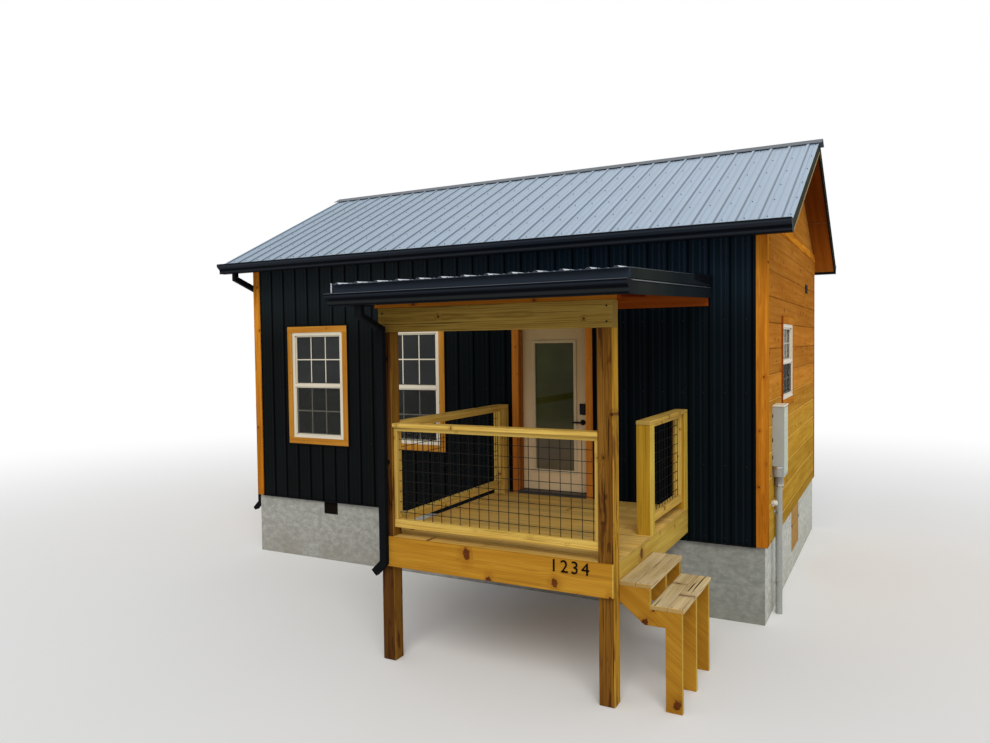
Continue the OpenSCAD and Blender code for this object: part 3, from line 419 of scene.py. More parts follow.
def pane(name, tint, alpha, specular, fade=None, bright=3.0, side_alpha=None):
    """Window glass, with the faint unevenness of a sealed unit and dim bands of sheen.

    bright is how much brighter than the tint the bands are, and side_alpha is for panes in the gables, where
    it lets more of the dark room through.
    """
    f = Finish(name, roughness=0.04, specular=specular)
    where = f.place()
    cloud = f.noise(where, 1.3, 3.0)
    base = f.mix(cloud.smooth(0.3, 0.7), tint, tuple(c * 1.8 + 0.004 for c in tint))
    # Painted reflection: dim horizontal bands of sheen.
    bands = f.noise(where * (0.8, 0.8, 11.0), 1.0, 3.0, 0.6).smooth(0.45, 0.75)
    base = f.mix(bands * 0.6, base, scaled(tint, bright))
    if fade:
        base = f.faded(base, *fade)
    if side_alpha:
        aside = f.outward()[0].turned("ABSOLUTE")
        alpha = aside.smooth(0.4, 0.8) * (side_alpha - alpha) + alpha
    f.set(base_color=base, alpha=alpha, roughness=cloud * 0.03 + 0.02)
    f.bump(f.noise(where, 2.2, 1.0), 0.004, 0.15)
    f.material.use_backface_culling = False
    return f.material


def lining(name, tint, roughness=0.8):
    """Bare sheathing and painted lining, with a fine flaky texture."""
    f = Finish(name, specular=0.2)
    where = f.place()
    flake = f.noise(where * (1.0, 1.0, 2.0), 30.0, 4.0, 0.6)
    base = f.mix(flake.smooth(0.3, 0.7), scaled(tint, 0.9), tint)
    f.set(base_color=base, roughness=flake * 0.1 + roughness - 0.05)
    f.bump(flake, 0.001, 0.4)
    return f.material


# fade is painted light bounced up from the ground, making the lower boards yellower; pale is the painted
# highlight on the boards' upward faces.
stained_boards = wood(
    "stained_boards", (0.575, 0.230, 0.036), (0.395, 0.132, 0.015), (0.27, 0.073, 0.008),
    knot=(0.09, 0.020, 0.004), rings=0.32, streaks=0.60, knots=0.60, spread=0.34, specular=0.0,
    fade=(2, 1.6, 2.9, (0.94, 1.40, 1.25)), pale=(0.86, 0.51, 0.12))
stained_trim = wood(
    "stained_trim", (0.70, 0.275, 0.026), (0.42, 0.135, 0.010), (0.30, 0.070, 0.006),
    knot=(0.09, 0.018, 0.004), rings=0.36, streaks=0.85, knots=0.38, spread=0.16, roughness=0.62,
    specular=0.0, knot_size=0.9, blotch=0.25, fade=(2, 1.0, 3.4, (0.70, 0.63, 0.50)))
# facing is painted shade on faces to the right, and fade painted light, brighter and redder from the door
# rightwards.
casing_wood = wood(
    "casing_wood", (0.57, 0.265, 0.040), (0.39, 0.150, 0.016), (0.27, 0.085, 0.009),
    knot=(0.09, 0.022, 0.005), rings=0.34, streaks=0.75, knots=0.85, spread=0.14, roughness=0.62,
    specular=0.0, knot_size=0.62, facing=(0, 1, (0.78, 0.86, 0.86)), fade=(0, 0.64, 0.30, (1.28, 1.02, 1.02)))
shaded_casing = wood(
    "shaded_casing", (0.27, 0.055, 0.006), (0.17, 0.030, 0.003), (0.11, 0.018, 0.002),
    knots=0.30, specular=0.0)
# fade is painted light: lighter and more golden towards the eave, darker towards the ridge.
soffit_boards = wood(
    "soffit_boards", (0.152, 0.035, 0.004), (0.096, 0.020, 0.0024), (0.074, 0.014, 0.0016),
    knots=0.30, specular=0.0, fade=(2, 4.05, 5.1, (2.9, 3.7, 3.2)))
# facing is painted light on faces to the front, and fade painted shade towards the wall under the porch roof.
porch_lumber = wood(
    "porch_lumber", (0.245, 0.045, 0.0060), (0.150, 0.024, 0.0034), (0.10, 0.014, 0.0014),
    knot=(0.04, 0.008, 0.003), knots=0.50, specular=0.0,
    facing=(1, -1, (1.85, 3.5, 2.4)), fade=(1, -0.6, -1.6, (0.74, 0.47, 0.66)))
jamb_stain = wood("jamb_stain", (0.38, 0.135, 0.028), (0.26, 0.08, 0.015), (0.17, 0.045, 0.009), knots=0.3)
# fade is painted shade on the rear rake.
rake_board = wood(
    "rake_board", (0.40, 0.29, 0.15), (0.30, 0.20, 0.09), (0.20, 0.12, 0.05),
    knots=0.3, fade=(1, 2.6, 2.1, (0.10, 0.12, 0.16)))
pine_yellow = wood(
    "treated_pine", (0.75, 0.51, 0.125), (0.55, 0.33, 0.056), (0.30, 0.155, 0.026),
    knot=(0.13, 0.048, 0.012), rings=0.55, streaks=0.65, knots=0.60, checks=0.45, spread=0.28)
# facing is painted light on faces to the right.
pine_newel = wood(
    "newel_pine", (0.53, 0.300, 0.026), (0.37, 0.185, 0.012), (0.20, 0.085, 0.006),
    knot=(0.10, 0.034, 0.006), rings=0.55, streaks=0.65, knots=0.60, checks=0.45, spread=0.16,
    facing=(0, 1, (1.40, 1.75, 3.6)))
# facing is painted light on faces to the right.
pine_rim = wood(
    "rim_pine", (0.47, 0.240, 0.025), (0.35, 0.155, 0.012), (0.20, 0.070, 0.006),
    knot=(0.08, 0.022, 0.005), rings=0.42, streaks=0.7, knots=0.62, checks=0.20, spread=0.18,
    knot_size=2.0, spike=0.75, facing=(0, 1, (1.50, 2.05, 4.0)))
# facing is painted light on faces to the right, and fade painted shade on the left post.
pine_post = wood(
    "post_pine", (0.260, 0.120, 0.017), (0.140, 0.054, 0.007), (0.06, 0.020, 0.003),
    knot=(0.04, 0.012, 0.003), rings=0.65, streaks=0.9, knots=0.40, checks=1.0, spread=0.10,
    knot_size=1.1, blotch=0.85, facing=(0, 1, (2.5, 3.1, 2.2)), fade=(0, 0.9, 1.3, (0.46, 0.40, 0.60)))
# fade is painted shade, darker towards the beam's left end.
pine_beam = wood(
    "beam_pine", (0.38, 0.250, 0.056), (0.27, 0.160, 0.028), (0.17, 0.092, 0.014),
    rings=0.85, streaks=0.7, knots=0.40, checks=0.6, spread=0.10, fade=(0, 0.5, 2.0, (0.76, 0.72, 0.60)))
# edge is painted shade of the gaps between the planks.
deck_wood = wood(
    "deck_wood", (0.76, 0.505, 0.135), (0.57, 0.345, 0.072), (0.35, 0.185, 0.038),
    rings=0.42, streaks=0.65, knots=0.45, checks=0.4, weather=0.28, grey=(0.46, 0.33, 0.15), spread=0.38,
    roughness=0.76, edge=0.071)
# facing is painted shade on the treads' front faces.
tread_wood = wood(
    "tread_wood", (0.70, 0.560, 0.300), (0.47, 0.345, 0.155), (0.22, 0.135, 0.055),
    rings=0.70, streaks=0.9, knots=0.50, checks=1.0, weather=0.40, grey=(0.58, 0.47, 0.30), spread=0.18,
    roughness=0.76, facing=(1, -1, (0.85, 0.70, 0.45)))
hatch_wood = wood(
    "hatch_boards", (0.54, 0.32, 0.095), (0.41, 0.215, 0.052), (0.27, 0.12, 0.025),
    rings=0.45, streaks=0.6, knots=0.5, checks=0.3)

# shade and shine are painted shade and a painted highlight on the main ribs, small_ribs painted highlights on
# the
# small ribs, fade a painted reflection that lightens it under the eave, and side_fade painted light at the
# left.
black_siding = painted(
    "black_siding", (0.0022, 0.0050, 0.0066), roughness=0.50, specular=0.018, dust=0.02,
    dust_tint=(0.040, 0.050, 0.050), waves=0.0005, foot=CLAD_FOOT, streak=0.015, ribs=SIDING_RIB_X,
    shade=(0.0004, 0.0006, 0.0010), shine=(0.011, 0.014, 0.019), small_ribs=(0.0085, 0.0110, 0.0155),
    lit_side=True, fade=(2, 4.1, 3.1, (2.6, 2.9, 3.3)), side_fade=(0, -1.5, 1.5, (2.10, 1.25, 0.95)))
# shine is a painted highlight on the ribs' left flanks.
ROOF_LOOK = dict(roughness=0.40, metallic=0.2, specular=0.4, patchy=0.05, waves=0.0005, dust=0.05,
                 dust_tint=(0.38, 0.43, 0.49), shine=(0.44, 0.52, 0.61))
# shade and small_ribs are painted shade on the ribs' flanks, and fade a painted reflection, darker to the
# left.
roof_paint = painted(
    "roof_paint", (0.325, 0.418, 0.528), ribs=ROOF_RIB_X, shade=(0.125, 0.168, 0.228),
    small_ribs=(0.245, 0.320, 0.415), fade=(0, -4.0, 2.5, (0.80, 0.82, 0.82)), **ROOF_LOOK)
# Painted shade on the porch roof sheet's ends and right edge, in place of the dark hollows of its ribs.
SHEET_END_SHADE = (0.026, 0.034, 0.050)
# Here shade is a painted highlight on the ribs' right flanks.
porch_roof_paint = painted(
    "porch_roof_paint", (0.305, 0.390, 0.490), ribs=PORCH_ROOF_LEFT + RIB_EDGE, shade=(0.60, 0.64, 0.68),
    front_back_tint=SHEET_END_SHADE, right_side_tint=SHEET_END_SHADE, **ROOF_LOOK)
cap_paint = painted(
    "ridge_paint", (0.070, 0.088, 0.112), roughness=0.42, metallic=0.3, specular=0.3, waves=0.0004)
folded_metal = painted("folded_metal", (0.55, 0.60, 0.66), roughness=0.35, specular=0.4)

TRIM_LOOK = dict(roughness=0.42, specular=0.010, waves=0.0005, dust_tint=(0.07, 0.07, 0.07))
black_trim = painted("black_trim", (0.0052, 0.0060, 0.0072), dust=0.05, **TRIM_LOOK)
# bands are painted reflections along the gutters; right_side_tint keeps the end faces plain dark, without
# them.
gutter_paint = painted(
    "gutter_paint", (0.0040, 0.0052, 0.0078), dust=0.03, right_side_tint=(0.0040, 0.0050, 0.0070),
    bands=((4.262, 0.034, (0.0240, 0.0290, 0.0380)), (4.190, 0.016, (0.0170, 0.0200, 0.0250)),
           (3.534, 0.016, (0.0150, 0.0190, 0.0260)), (3.482, 0.020, (0.0210, 0.0235, 0.0240))), **TRIM_LOOK)
# front_back_tint is a painted bluish reflection on the trim's front faces, and fade painted shade towards the
# wall.
side_trim = painted(
    "side_trim", (0.0230, 0.0270, 0.0250), roughness=0.50, specular=0.0, waves=0.0008, dust=0.08,
    dust_tint=(0.05, 0.052, 0.045), front_back_tint=(0.0290, 0.0380, 0.0540),
    fade=(1, -1.2, -2.6, (0.45, 0.55, 0.75)))
# fade is painted shade on the rear rake's trim.
rake_trim = painted(
    "rake_trim", (0.050, 0.052, 0.038), roughness=0.50, specular=0.0, waves=0.0005, dust=0.08,
    dust_tint=(0.07, 0.07, 0.06), fade=(1, 2.6, 2.1, (0.16, 0.18, 0.18)))
# A painted highlight, much lighter than the black metal of the lips that it lies on.
lip_highlight = painted("lip_highlight", (0.075, 0.085, 0.100), roughness=0.30, specular=0.3)

VINYL_LOOK = dict(tint=(0.68, 0.615, 0.485), roughness=0.38, specular=0.3, patchy=0.03, waves=0.0001)
vinyl = painted("white_vinyl", dust=0.06, dust_tint=(0.50, 0.47, 0.40), **VINYL_LOOK)
# right_side_tint is painted shade on the window bars' faces to the right.
bar_vinyl = painted("bar_vinyl", right_side_tint=(0.27, 0.26, 0.22), **VINYL_LOOK)
# fade is painted light on the door and its lite frame: lighter low down, darker up under the porch roof.
door_paint = painted(
    "cream_paint", (0.49, 0.350, 0.165), roughness=0.50, specular=0.06, patchy=0.05, waves=0.0003,
    fade=(2, 1.6, 3.3, (1.62, 1.72, 2.15)))
lite_paint = painted(
    "lite_frame_paint", (0.50, 0.395, 0.215), roughness=0.38, specular=0.1, patchy=0.04, waves=0.0001,
    fade=(2, 1.6, 3.3, (1.35, 1.45, 1.75)))
sill_metal = painted(
    "dark_sill", (0.055, 0.048, 0.043), roughness=0.45, metallic=0.5, specular=0.4, dust=0.2, waves=0.0004)
key_plastic = painted("key_plastic", (0.022, 0.021, 0.020), roughness=0.45, specular=0.1)
hardware_paint = painted("black_hardware", (0.006, 0.005, 0.005), roughness=0.38, specular=0.10)
seal_rubber = painted("door_seal", (0.035, 0.022, 0.014), roughness=0.7, specular=0.2)
numeral_paint = painted("numeral_paint", (0.006, 0.004, 0.003), roughness=0.45, specular=0.02)
gap_shade = painted("board_gap", (0.016, 0.005, 0.002), roughness=0.9, specular=0.0)
foam = painted("closure_foam", (0.012, 0.012, 0.013), roughness=0.9, specular=0.1)
vent_plastic = painted(
    "vent_plastic", (0.012, 0.009, 0.007), roughness=0.6, specular=0.02, dust=0.15,
    dust_tint=(0.05, 0.04, 0.03))
wire_paint = painted("mesh_wire", (0.012, 0.011, 0.010), roughness=0.5, specular=0.05)
steel = painted("bright_steel", (0.42, 0.42, 0.40), roughness=0.35, metallic=0.9)
screw_paint = painted("screw_paint", (0.060, 0.075, 0.100), roughness=0.40, metallic=0.3)
siding_screw_paint = painted("siding_screws", (0.0095, 0.0105, 0.0125), roughness=0.45, specular=0.15)
hose_plastic = painted("white_plastic", (0.68, 0.66, 0.58), roughness=0.45)

METER_LOOK = dict(roughness=0.42, specular=0.3, waves=0.0002)
# Towards the foot it is darker and browner: partly dust, partly painted shade beside the conduit.
grey_enamel = painted(
    "grey_box", (0.325, 0.340, 0.320), patchy=0.08, dust=0.60, dust_tint=(0.165, 0.150, 0.125), foot=0.75,
    streak=0.12, **METER_LOOK)
hood_enamel = painted(
    "hood_enamel", (0.43, 0.48, 0.39), patchy=0.07, dust=0.12, dust_tint=(0.30, 0.27, 0.20), **METER_LOOK)
hood_paint = painted("hood_paint", (0.66, 0.64, 0.50), patchy=0.05, **METER_LOOK)
hub_paint = painted(
    "hub_paint", (0.275, 0.270, 0.250), metallic=0.2, patchy=0.25, dust=0.25, dust_tint=(0.14, 0.10, 0.07),
    **METER_LOOK)

blockwork = parging("parged_block")
glass = pane("window_glass", (0.0058, 0.0070, 0.0066), 0.88, specular=0.26, side_alpha=0.35)
# fade is a painted reflection: the door glass is brighter and browner low down.
door_pane = pane(
    "door_glass", (0.034, 0.036, 0.006), 0.94, specular=0.12, fade=(2, 1.7, 2.2, (3.4, 2.6, 8.4)), bright=1.5)
wall_board = lining("wall_lining", (0.62, 0.60, 0.56))
bare_board = lining("framing", (0.45, 0.33, 0.20))


def screen_cloth():
    """Insect screen: a fine grey cloth that lets some of the sash through."""
    f = Finish("window_screen", roughness=0.8, specular=0.1)
    where = f.place()
    cloud = f.noise(where, 2.0, 3.0)
    f.set(base_color=f.mix(cloud, (0.024, 0.026, 0.023), (0.040, 0.042, 0.038)), alpha=cloud * 0.06 + 0.34)
    f.bump(f.noise(where, 900.0, 1.0), 0.0004, 0.3)
    return f.material


screen = screen_cloth()


# Meshes

def to_object(name, mesh, material, body="house", replaces=()):
    piece = bpy.data.objects.new(name, mesh)
    bpy.context.scene.collection.objects.link(piece)
    mesh.materials.clear()
    mesh.materials.append(material)
    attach(piece, body)
    if replaces:
        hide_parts(*replaces)
    return piece


class Pile:
    """Corners and faces that end in one mesh; each board carries its own grain."""

    def __init__(self):
        self.corners, self.faces, self.grain, self.board = [], [], [], []

    def add(self, corners, faces, grain=None, board=(0.5, 0.5, 0.0)):
        first = len(self.corners)
        self.corners += [tuple(c) for c in corners]
        self.faces += [tuple(first + i for i in face) for face in faces]
        self.grain += list(grain) if grain is not None else [tuple(c) for c in corners]
        self.board += list(board) if isinstance(board, list) else [board] * len(corners)

    def block(self, low, high, ease=0.002, along=None, turn=None):
        """A box with eased edges; along is the axis of its grain, turn places it."""
        low, high = Vector(map(min, low, high)), Vector(map(max, low, high))
        size, middle = high - low, (low + high) / 2
        ease = min(ease, *(s * 0.45 for s in size))
        if along is None:
            along = max(range(3), key=lambda i: size[i])
        second, third = sorted((i for i in range(3) if i != along), key=lambda i: -size[i])
        shift, depth = rng.uniform(0, 50), rng.uniform(0.0, 0.02)
        tone, seed = rng.random(), rng.random()
        corners, grain, flags, index = [], [], [], {}
        for axis in range(3):
            for signs in product((0, 1), repeat=3):
                point = [high[i] if signs[i] else low[i] for i in range(3)]
                for i in range(3):
                    if i != axis:
                        point[i] += -ease if signs[i] else ease
                index[axis, signs] = len(corners)
                corners.append(Vector(point))
                off = corners[-1] - middle
                grain.append((off[along] + shift, off[second], off[third] + depth))
                flags.append((tone, seed, 1.0 if axis == along else 0.0))

        def corner(kind, axis, side, first, last):
            signs = [first, last]
            signs.insert(axis, side)
            return index[kind, tuple(signs)]

        faces = []
        for axis in range(3):
            a, b = [i for i in range(3) if i != axis]
            for side in (0, 1):
                faces.append([corner(axis, axis, side, *at) for at in ((0, 0), (1, 0), (1, 1), (0, 1))])
            for at in product((0, 1), repeat=2):
                edge = ((a, 0), (a, 1), (b, 1), (b, 0))
                faces.append([corner(kind, axis, side, *at) for kind, side in edge])
        for signs in product((0, 1), repeat=3):
            faces.append([index[axis, signs] for axis in range(3)])
        outward = []
        for face in faces:
            points = [corners[i] for i in face]
            normal = (points[1] - points[0]).cross(points[2] - points[0])
            centre = sum(points, Vector()) / len(points)
            outward.append(face if normal.dot(centre - middle) > 0 else face[::-1])
        if turn is not None:
            corners = [turn @ c for c in corners]
        self.add(corners, outward, grain, flags)

    def rod(self, start, end, radius, sides=16):
        """A round bar from start to end."""
        start, end = Vector(start), Vector(end)
        turn = (end - start).to_track_quat("Z", "Y").to_matrix()
        corners = []
        for point in (start, end):
            for k in range(sides):
                a = 2 * math.pi * k / sides
                corners.append(point + turn @ Vector((radius * math.cos(a), radius * math.sin(a), 0)))
        faces = [(k, (k + 1) % sides, sides + (k + 1) % sides, sides + k) for k in range(sides)]
        faces += [tuple(range(sides))[::-1], tuple(range(sides, 2 * sides))]
        self.add(corners, faces)

    def slab(self, outline, start, end, axis):
        """An outline, given anticlockwise, pulled along an axis from start to end."""
        n = len(outline)
        a, b = [i for i in range(3) if i != axis]
        corners = []
        for value in (start, end):
            for u, v in outline:
                point = [0.0, 0.0, 0.0]
                point[axis], point[a], point[b] = value, u, v
                corners.append(tuple(point))
        faces = [tuple(range(n)), tuple(range(n, 2 * n))[::-1]]
        faces += [(k, n + k, n + (k + 1) % n, (k + 1) % n) for k in range(n)]
        self.add(corners, faces)

    def piece(self, name, material, body="house", slot=None, replaces=()):
        mesh = bpy.data.meshes.new(name)
        mesh.from_pydata(self.corners, [], self.faces)
        mesh.validate()
        for key, values in (("grain", self.grain), ("board", self.board)):
            layer = mesh.attributes.new(key, "FLOAT_VECTOR", "POINT")
            layer.data.foreach_set("vector", np.array(values, np.float32).ravel())
        mesh.update()
        work = bmesh.new()
        work.from_mesh(mesh)
        bmesh.ops.recalc_face_normals(work, faces=work.faces)
        work.to_mesh(mesh)
        work.free()
        return to_object(name, mesh, material, body, replaces)


def islands(items, beside):
    """The items in groups that hang together, in the order in which they are met."""
    seen, groups = set(), []
    for item in items:
        if item in seen:
            continue
        seen.add(item)
        queue, members = [item], []
        while queue:
            this = queue.pop()
            members.append(this)
            for other in beside(this):
                if other not in seen:
                    seen.add(other)
                    queue.append(other)
        groups.append(members)
    return groups


def dressed(node, name, material, place=None, ease=0.003, lit_tops=False):
    """A copy of a CAD node with eased edges and a grain for each of its boards.

    place gives the way of the grain, a board's key and its middle from where a face is, for nodes whose
    boards are one solid; lit_tops marks the upward faces of boards, for wood's painted highlight.
    """
    work = bmesh.new()
    work.from_mesh(nodes[node].data)
    bmesh.ops.remove_doubles(work, verts=work.verts, dist=1e-5)
    bmesh.ops.dissolve_limit(work, angle_limit=math.radians(0.5), verts=work.verts, edges=work.edges)
    sharp = [e for e in work.edges if len(e.link_faces) == 2 and e.is_convex and e.calc_face_angle(0) > 0.6]
    bmesh.ops.bevel(work, geom=sharp, offset=ease, segments=1, affect="EDGES", clamp_overlap=True)
    work.faces.index_update()
    work.faces.ensure_lookup_table()
    island, boards = {}, []
    for members in islands(work.faces, lambda face: [other for e in face.edges for other in e.link_faces]):
        for face in members:
            island[face.index] = len(boards)
        points = [v.co for face in members for v in face.verts]
        low = Vector((min(p[i] for p in points) for i in range(3)))
        high = Vector((max(p[i] for p in points) for i in range(3)))
        boards.append((low, high))
    grain = work.loops.layers.float_vector.new("grain")
    board = work.loops.layers.float_vector.new("board")
    for face in work.faces:
        key = island[face.index]
        low, high = boards[key]
        size, middle = high - low, (low + high) / 2
        centre, normal = face.calc_center_median(), face.normal
        along = max(range(3), key=lambda i: size[i])
        direction = Vector([1.0 if i == along else 0.0 for i in range(3)])
        if place is not None:
            direction, key, middle = place(centre, normal, key, middle)
            direction = Vector(direction).normalized()
        luck = random.Random(str((name, key)))
        shift = Vector((luck.uniform(0, 50), 0.0, luck.uniform(0.0, 0.02)))
        tone, seed = luck.random(), luck.random()
        upright = Vector((0, 0, 1)) if abs(direction.z) < 0.8 else Vector((1, 0, 0))
        second = upright - direction * upright.dot(direction)
        second.normalize()
        third = direction.cross(second)
        end = 1.0 if abs(normal.dot(direction)) > 0.8 else 0.0
        # Upward faces are marked for the painted highlight of wood's pale tint.
        if lit_tops and normal.z > 0.3:
            end = 0.5
        for loop in face.loops:
            off = loop.vert.co - middle
            loop[grain] = Vector((off.dot(direction), off.dot(second), off.dot(third))) + shift
            loop[board] = Vector((tone, seed, end))
    mesh = bpy.data.meshes.new(name)
    work.to_mesh(mesh)
    work.free()
    return to_object(name, mesh, material, replaces=(node,))


def paint(node, material):
    mesh = nodes[node].data
    mesh.materials.clear()
    mesh.materials.append(material)


# Rows of fasteners, grown by Geometry Nodes

class Grower:
    """A Geometry Nodes tree that sets a piece out on a grid, with named inputs for its sizes."""

    def __init__(self, name, **sizes):
        self.tree = bpy.data.node_groups.new(name, "GeometryNodeTree")
        self.tree.interface.new_socket(name="Geometry", in_out="OUTPUT", socket_type="NodeSocketGeometry")
        asked = dict(columns="Int", rows="Int", width="Float", height="Float", **sizes,
                     place="Vector", turn="Vector", material="Material")
        self.inputs = {}
        for key, kind in asked.items():
            socket = self.tree.interface.new_socket(
                name=key.replace("_", " ").title(), in_out="INPUT", socket_type="NodeSocket" + kind)
            self.inputs[key] = socket.identifier
        self.source = self.tree.nodes.new("NodeGroupInput")

    def given(self, key):
        return next(s for s in self.source.outputs if s.identifier == self.inputs[key])

    def node(self, kind, sockets, operation=None):
        made = self.tree.nodes.new(kind)
        if operation:
            made.operation = operation
        for key, value in sockets.items():
            for item in value if isinstance(value, list) else [value]:
                if isinstance(item, bpy.types.NodeSocket):
                    self.tree.links.new(item, made.inputs[key])
                else:
                    made.inputs[key].default_value = item
        return made.outputs[0]

    def set_out(self, piece):
        """Repeats the piece over the grid, turns and places the whole, and ends in plain mesh."""
        grid = self.node("GeometryNodeMeshGrid", {
            "Size X": self.given("width"), "Size Y": self.given("height"),
            "Vertices X": self.given("columns"), "Vertices Y": self.given("rows")})
        field = self.node("GeometryNodeInstanceOnPoints", {"Points": grid, "Instance": piece})
        placed = self.node("GeometryNodeTransform", {
            "Geometry": field, "Translation": self.given("place"), "Rotation": self.given("turn")})
        real = self.node("GeometryNodeRealizeInstances", {"Geometry": placed})
        done = self.node("GeometryNodeSetMaterial", {"Geometry": real, "Material": self.given("material")})
        out = self.tree.nodes.new("NodeGroupOutput")
        self.tree.links.new(done, out.inputs[0])
        return self


def fastener_field():
    """Heads on washers; the number of sides makes them hexagons or nearly round."""
    g = Grower("fastener_field", head_radius="Float", head_height="Float", washer_radius="Float", sides="Int")
    washer = g.node("GeometryNodeMeshCylinder", {
        "Vertices": 10, "Radius": g.given("washer_radius"), "Depth": 0.003})
    head = g.node("GeometryNodeMeshCylinder", {
        "Vertices": g.given("sides"), "Radius": g.given("head_radius"), "Depth": g.given("head_height")})
    half = g.node("ShaderNodeMath", {0: g.given("head_height"), 1: 0.5}, "MULTIPLY")
    lift = g.node("ShaderNodeCombineXYZ", {"Z": half})
    head = g.node("GeometryNodeTransform", {"Geometry": head, "Translation": lift})
    return g.set_out(g.node("GeometryNodeJoinGeometry", {"Geometry": [washer, head]}))


def block_field():
    """Blocks, such as closures between ribs, hangers in a gutter or staples."""
    g = Grower("block_field", block="Vector")
    return g.set_out(g.node("GeometryNodeMeshCube", {"Size": g.given("block")}))


FASTENERS = fastener_field()
BLOCKS = block_field()


def grown(grower, place, material, columns=1, rows=1, width=0.0, height=0.0, turn=(0.0, 0.0, 0.0), keep=None,
          **sizes):
    """The plain mesh that a tree makes from these inputs; keep drops the parts that miss the metal."""
    values = dict(place=place, material=material, columns=columns, rows=rows, width=width, height=height,
                  turn=turn, **sizes)
    carrier = bpy.data.objects.new("carrier", bpy.data.meshes.new("carrier"))
    bpy.context.scene.collection.objects.link(carrier)
    modifier = carrier.modifiers.new("grow", "NODES")
    modifier.node_group = grower.tree
    for key, value in values.items():
        modifier[grower.inputs[key]] = value
    ready = carrier.evaluated_get(bpy.context.evaluated_depsgraph_get())
    mesh = bpy.data.meshes.new_from_object(ready)
    bpy.data.objects.remove(carrier)
    if keep is None:
        return mesh
    work = bmesh.new()
    work.from_mesh(mesh)
    gone = []
    for members in islands(work.verts, lambda vert: [edge.other_vert(vert) for edge in vert.link_edges]):
        if not keep(sum((m.co for m in members), Vector()) / len(members)):
            gone += members
    bmesh.ops.delete(work, geom=gone, context="VERTS")
    work.to_mesh(mesh)
    work.free()
    return mesh


def joined(name, meshes, material):
    work = bmesh.new()
    for mesh in meshes:
        work.from_mesh(mesh)
    whole = bpy.data.meshes.new(name)
    work.to_mesh(whole)
    work.free()
    return to_object(name, whole, material)


# Foundation and walls

PAINTED = (
    (blockwork, "foundation_long_walls", "foundation_end_walls"),
    (vent_plastic, "vents"),
    (bare_board, "floor_platform"),
    (wall_board, "front_wall_left", "front_wall_right", "front_wall_over_door", "back_wall", "left_wall",
     "right_wall"),
    (black_siding, "metal_siding"),
    (roof_paint, "roof_metal"),
    (porch_roof_paint, "porch_roof_metal"),
    (cap_paint, "ridge_cap"),
    (gutter_paint, "gutters"),
    (black_trim, "downspouts"),
    (rake_trim, "roof_edge_trim"),
    (side_trim, "porch_roof_trim"),
    (vinyl, "window_frames"),
    (glass, "window_glass"),
    (sill_metal, "door_threshold"),
    (door_pane, "door_glass"),
    (hardware_paint, "door_hardware"),
    (door_paint, "entry_door"),
    (grey_enamel, "electric_meter"),
    (wire_paint, "front_rail_mesh", "left_rail_mesh", "right_rail_mesh"),
)
for material, *names in PAINTED:
    for name in names:
        paint(name, material)


def by_row(centre, normal, key, middle):
    """Lap boards: one board a course and gable."""
    row = math.floor((centre.z - CLAD_FOOT - FIRST_COURSE) / COURSE)
    spot = Vector((centre.x, MIDDLE, CLAD_FOOT + FIRST_COURSE + (row + 0.5) * COURSE))
    return (0, 1, 0), (key, row, centre.x > 0), spot


def by_corner(centre, normal, key, middle):
    """The gable bands lie along Y, and corner boards stand, with one board to a face."""
    if abs(centre.x) > SIDE + 0.001:
        return (0, 1, 0), ("band", centre.x > 0), Vector((SIDE, MIDDLE, CLAD_FOOT + 3.537))
    board = ("corner", centre.x > 0, centre.y > MIDDLE, abs(normal.y) > 0.5)
    return (0, 0, 1), board, Vector((centre.x, centre.y, 2.5))


def leaning(*direction):
    """Boards that all lean the same way, each a solid of its own."""
    return lambda centre, normal, key, middle: (direction, key, middle)


dressed("board_siding", "gable_boards", stained_boards, by_row, 0.0075, lit_tops=True)
dressed("trim_boards", "corner_and_band_boards", stained_trim, by_corner, 0.002)
dressed("crawl_hatch", "crawl_hatch_boards", hatch_wood, None, 0.003)
dressed("roof_frame_front", "roof_underside_front", soffit_boards,
        leaning(0, 0.894, 0.447), 0.002)
dressed("roof_frame_back", "roof_underside_back", soffit_boards,
        leaning(0, -0.894, 0.447), 0.002)


# Windows

def stood(x, y, z, turn):
    return Matrix.Translation((x, y, z)) @ Matrix.Rotation(turn, 4, "Z")


LONG_WINDOWS = [stood(x, FRONT, WINDOW_TOP, 0.0) for x in WINDOW_XS]
LONG_WINDOWS += [stood(-x, BACK, WINDOW_TOP, math.pi) for x in WINDOW_XS]
GABLE_WINDOWS = [stood(side * SIDE, GABLE_WINDOW_Y, WINDOW_TOP, side * math.pi / 2) for side in (1, -1)]
FRAME_W, MEET = 0.042, 0.044
CASE_BACK, CASE_FACE = 0.019, -0.010
MUNTIN = 0.008  # half a muntin's width


def four_bars(pile, low, high, depth, stile, head, sill, ease, turn):
    """Bars just inside an outline: left and right in full height, then head and sill."""
    (left, foot), (right, top), (face, back) = low, high, depth
    pile.block((left, face, foot), (left + stile, back, top), ease, turn=turn)
    pile.block((right - stile, face, foot), (right, back, top), ease, turn=turn)
    pile.block((left, face, top - head), (right, back, top), ease, turn=turn)
    pile.block((left, face, foot), (right, back, foot + sill), ease, turn=turn)


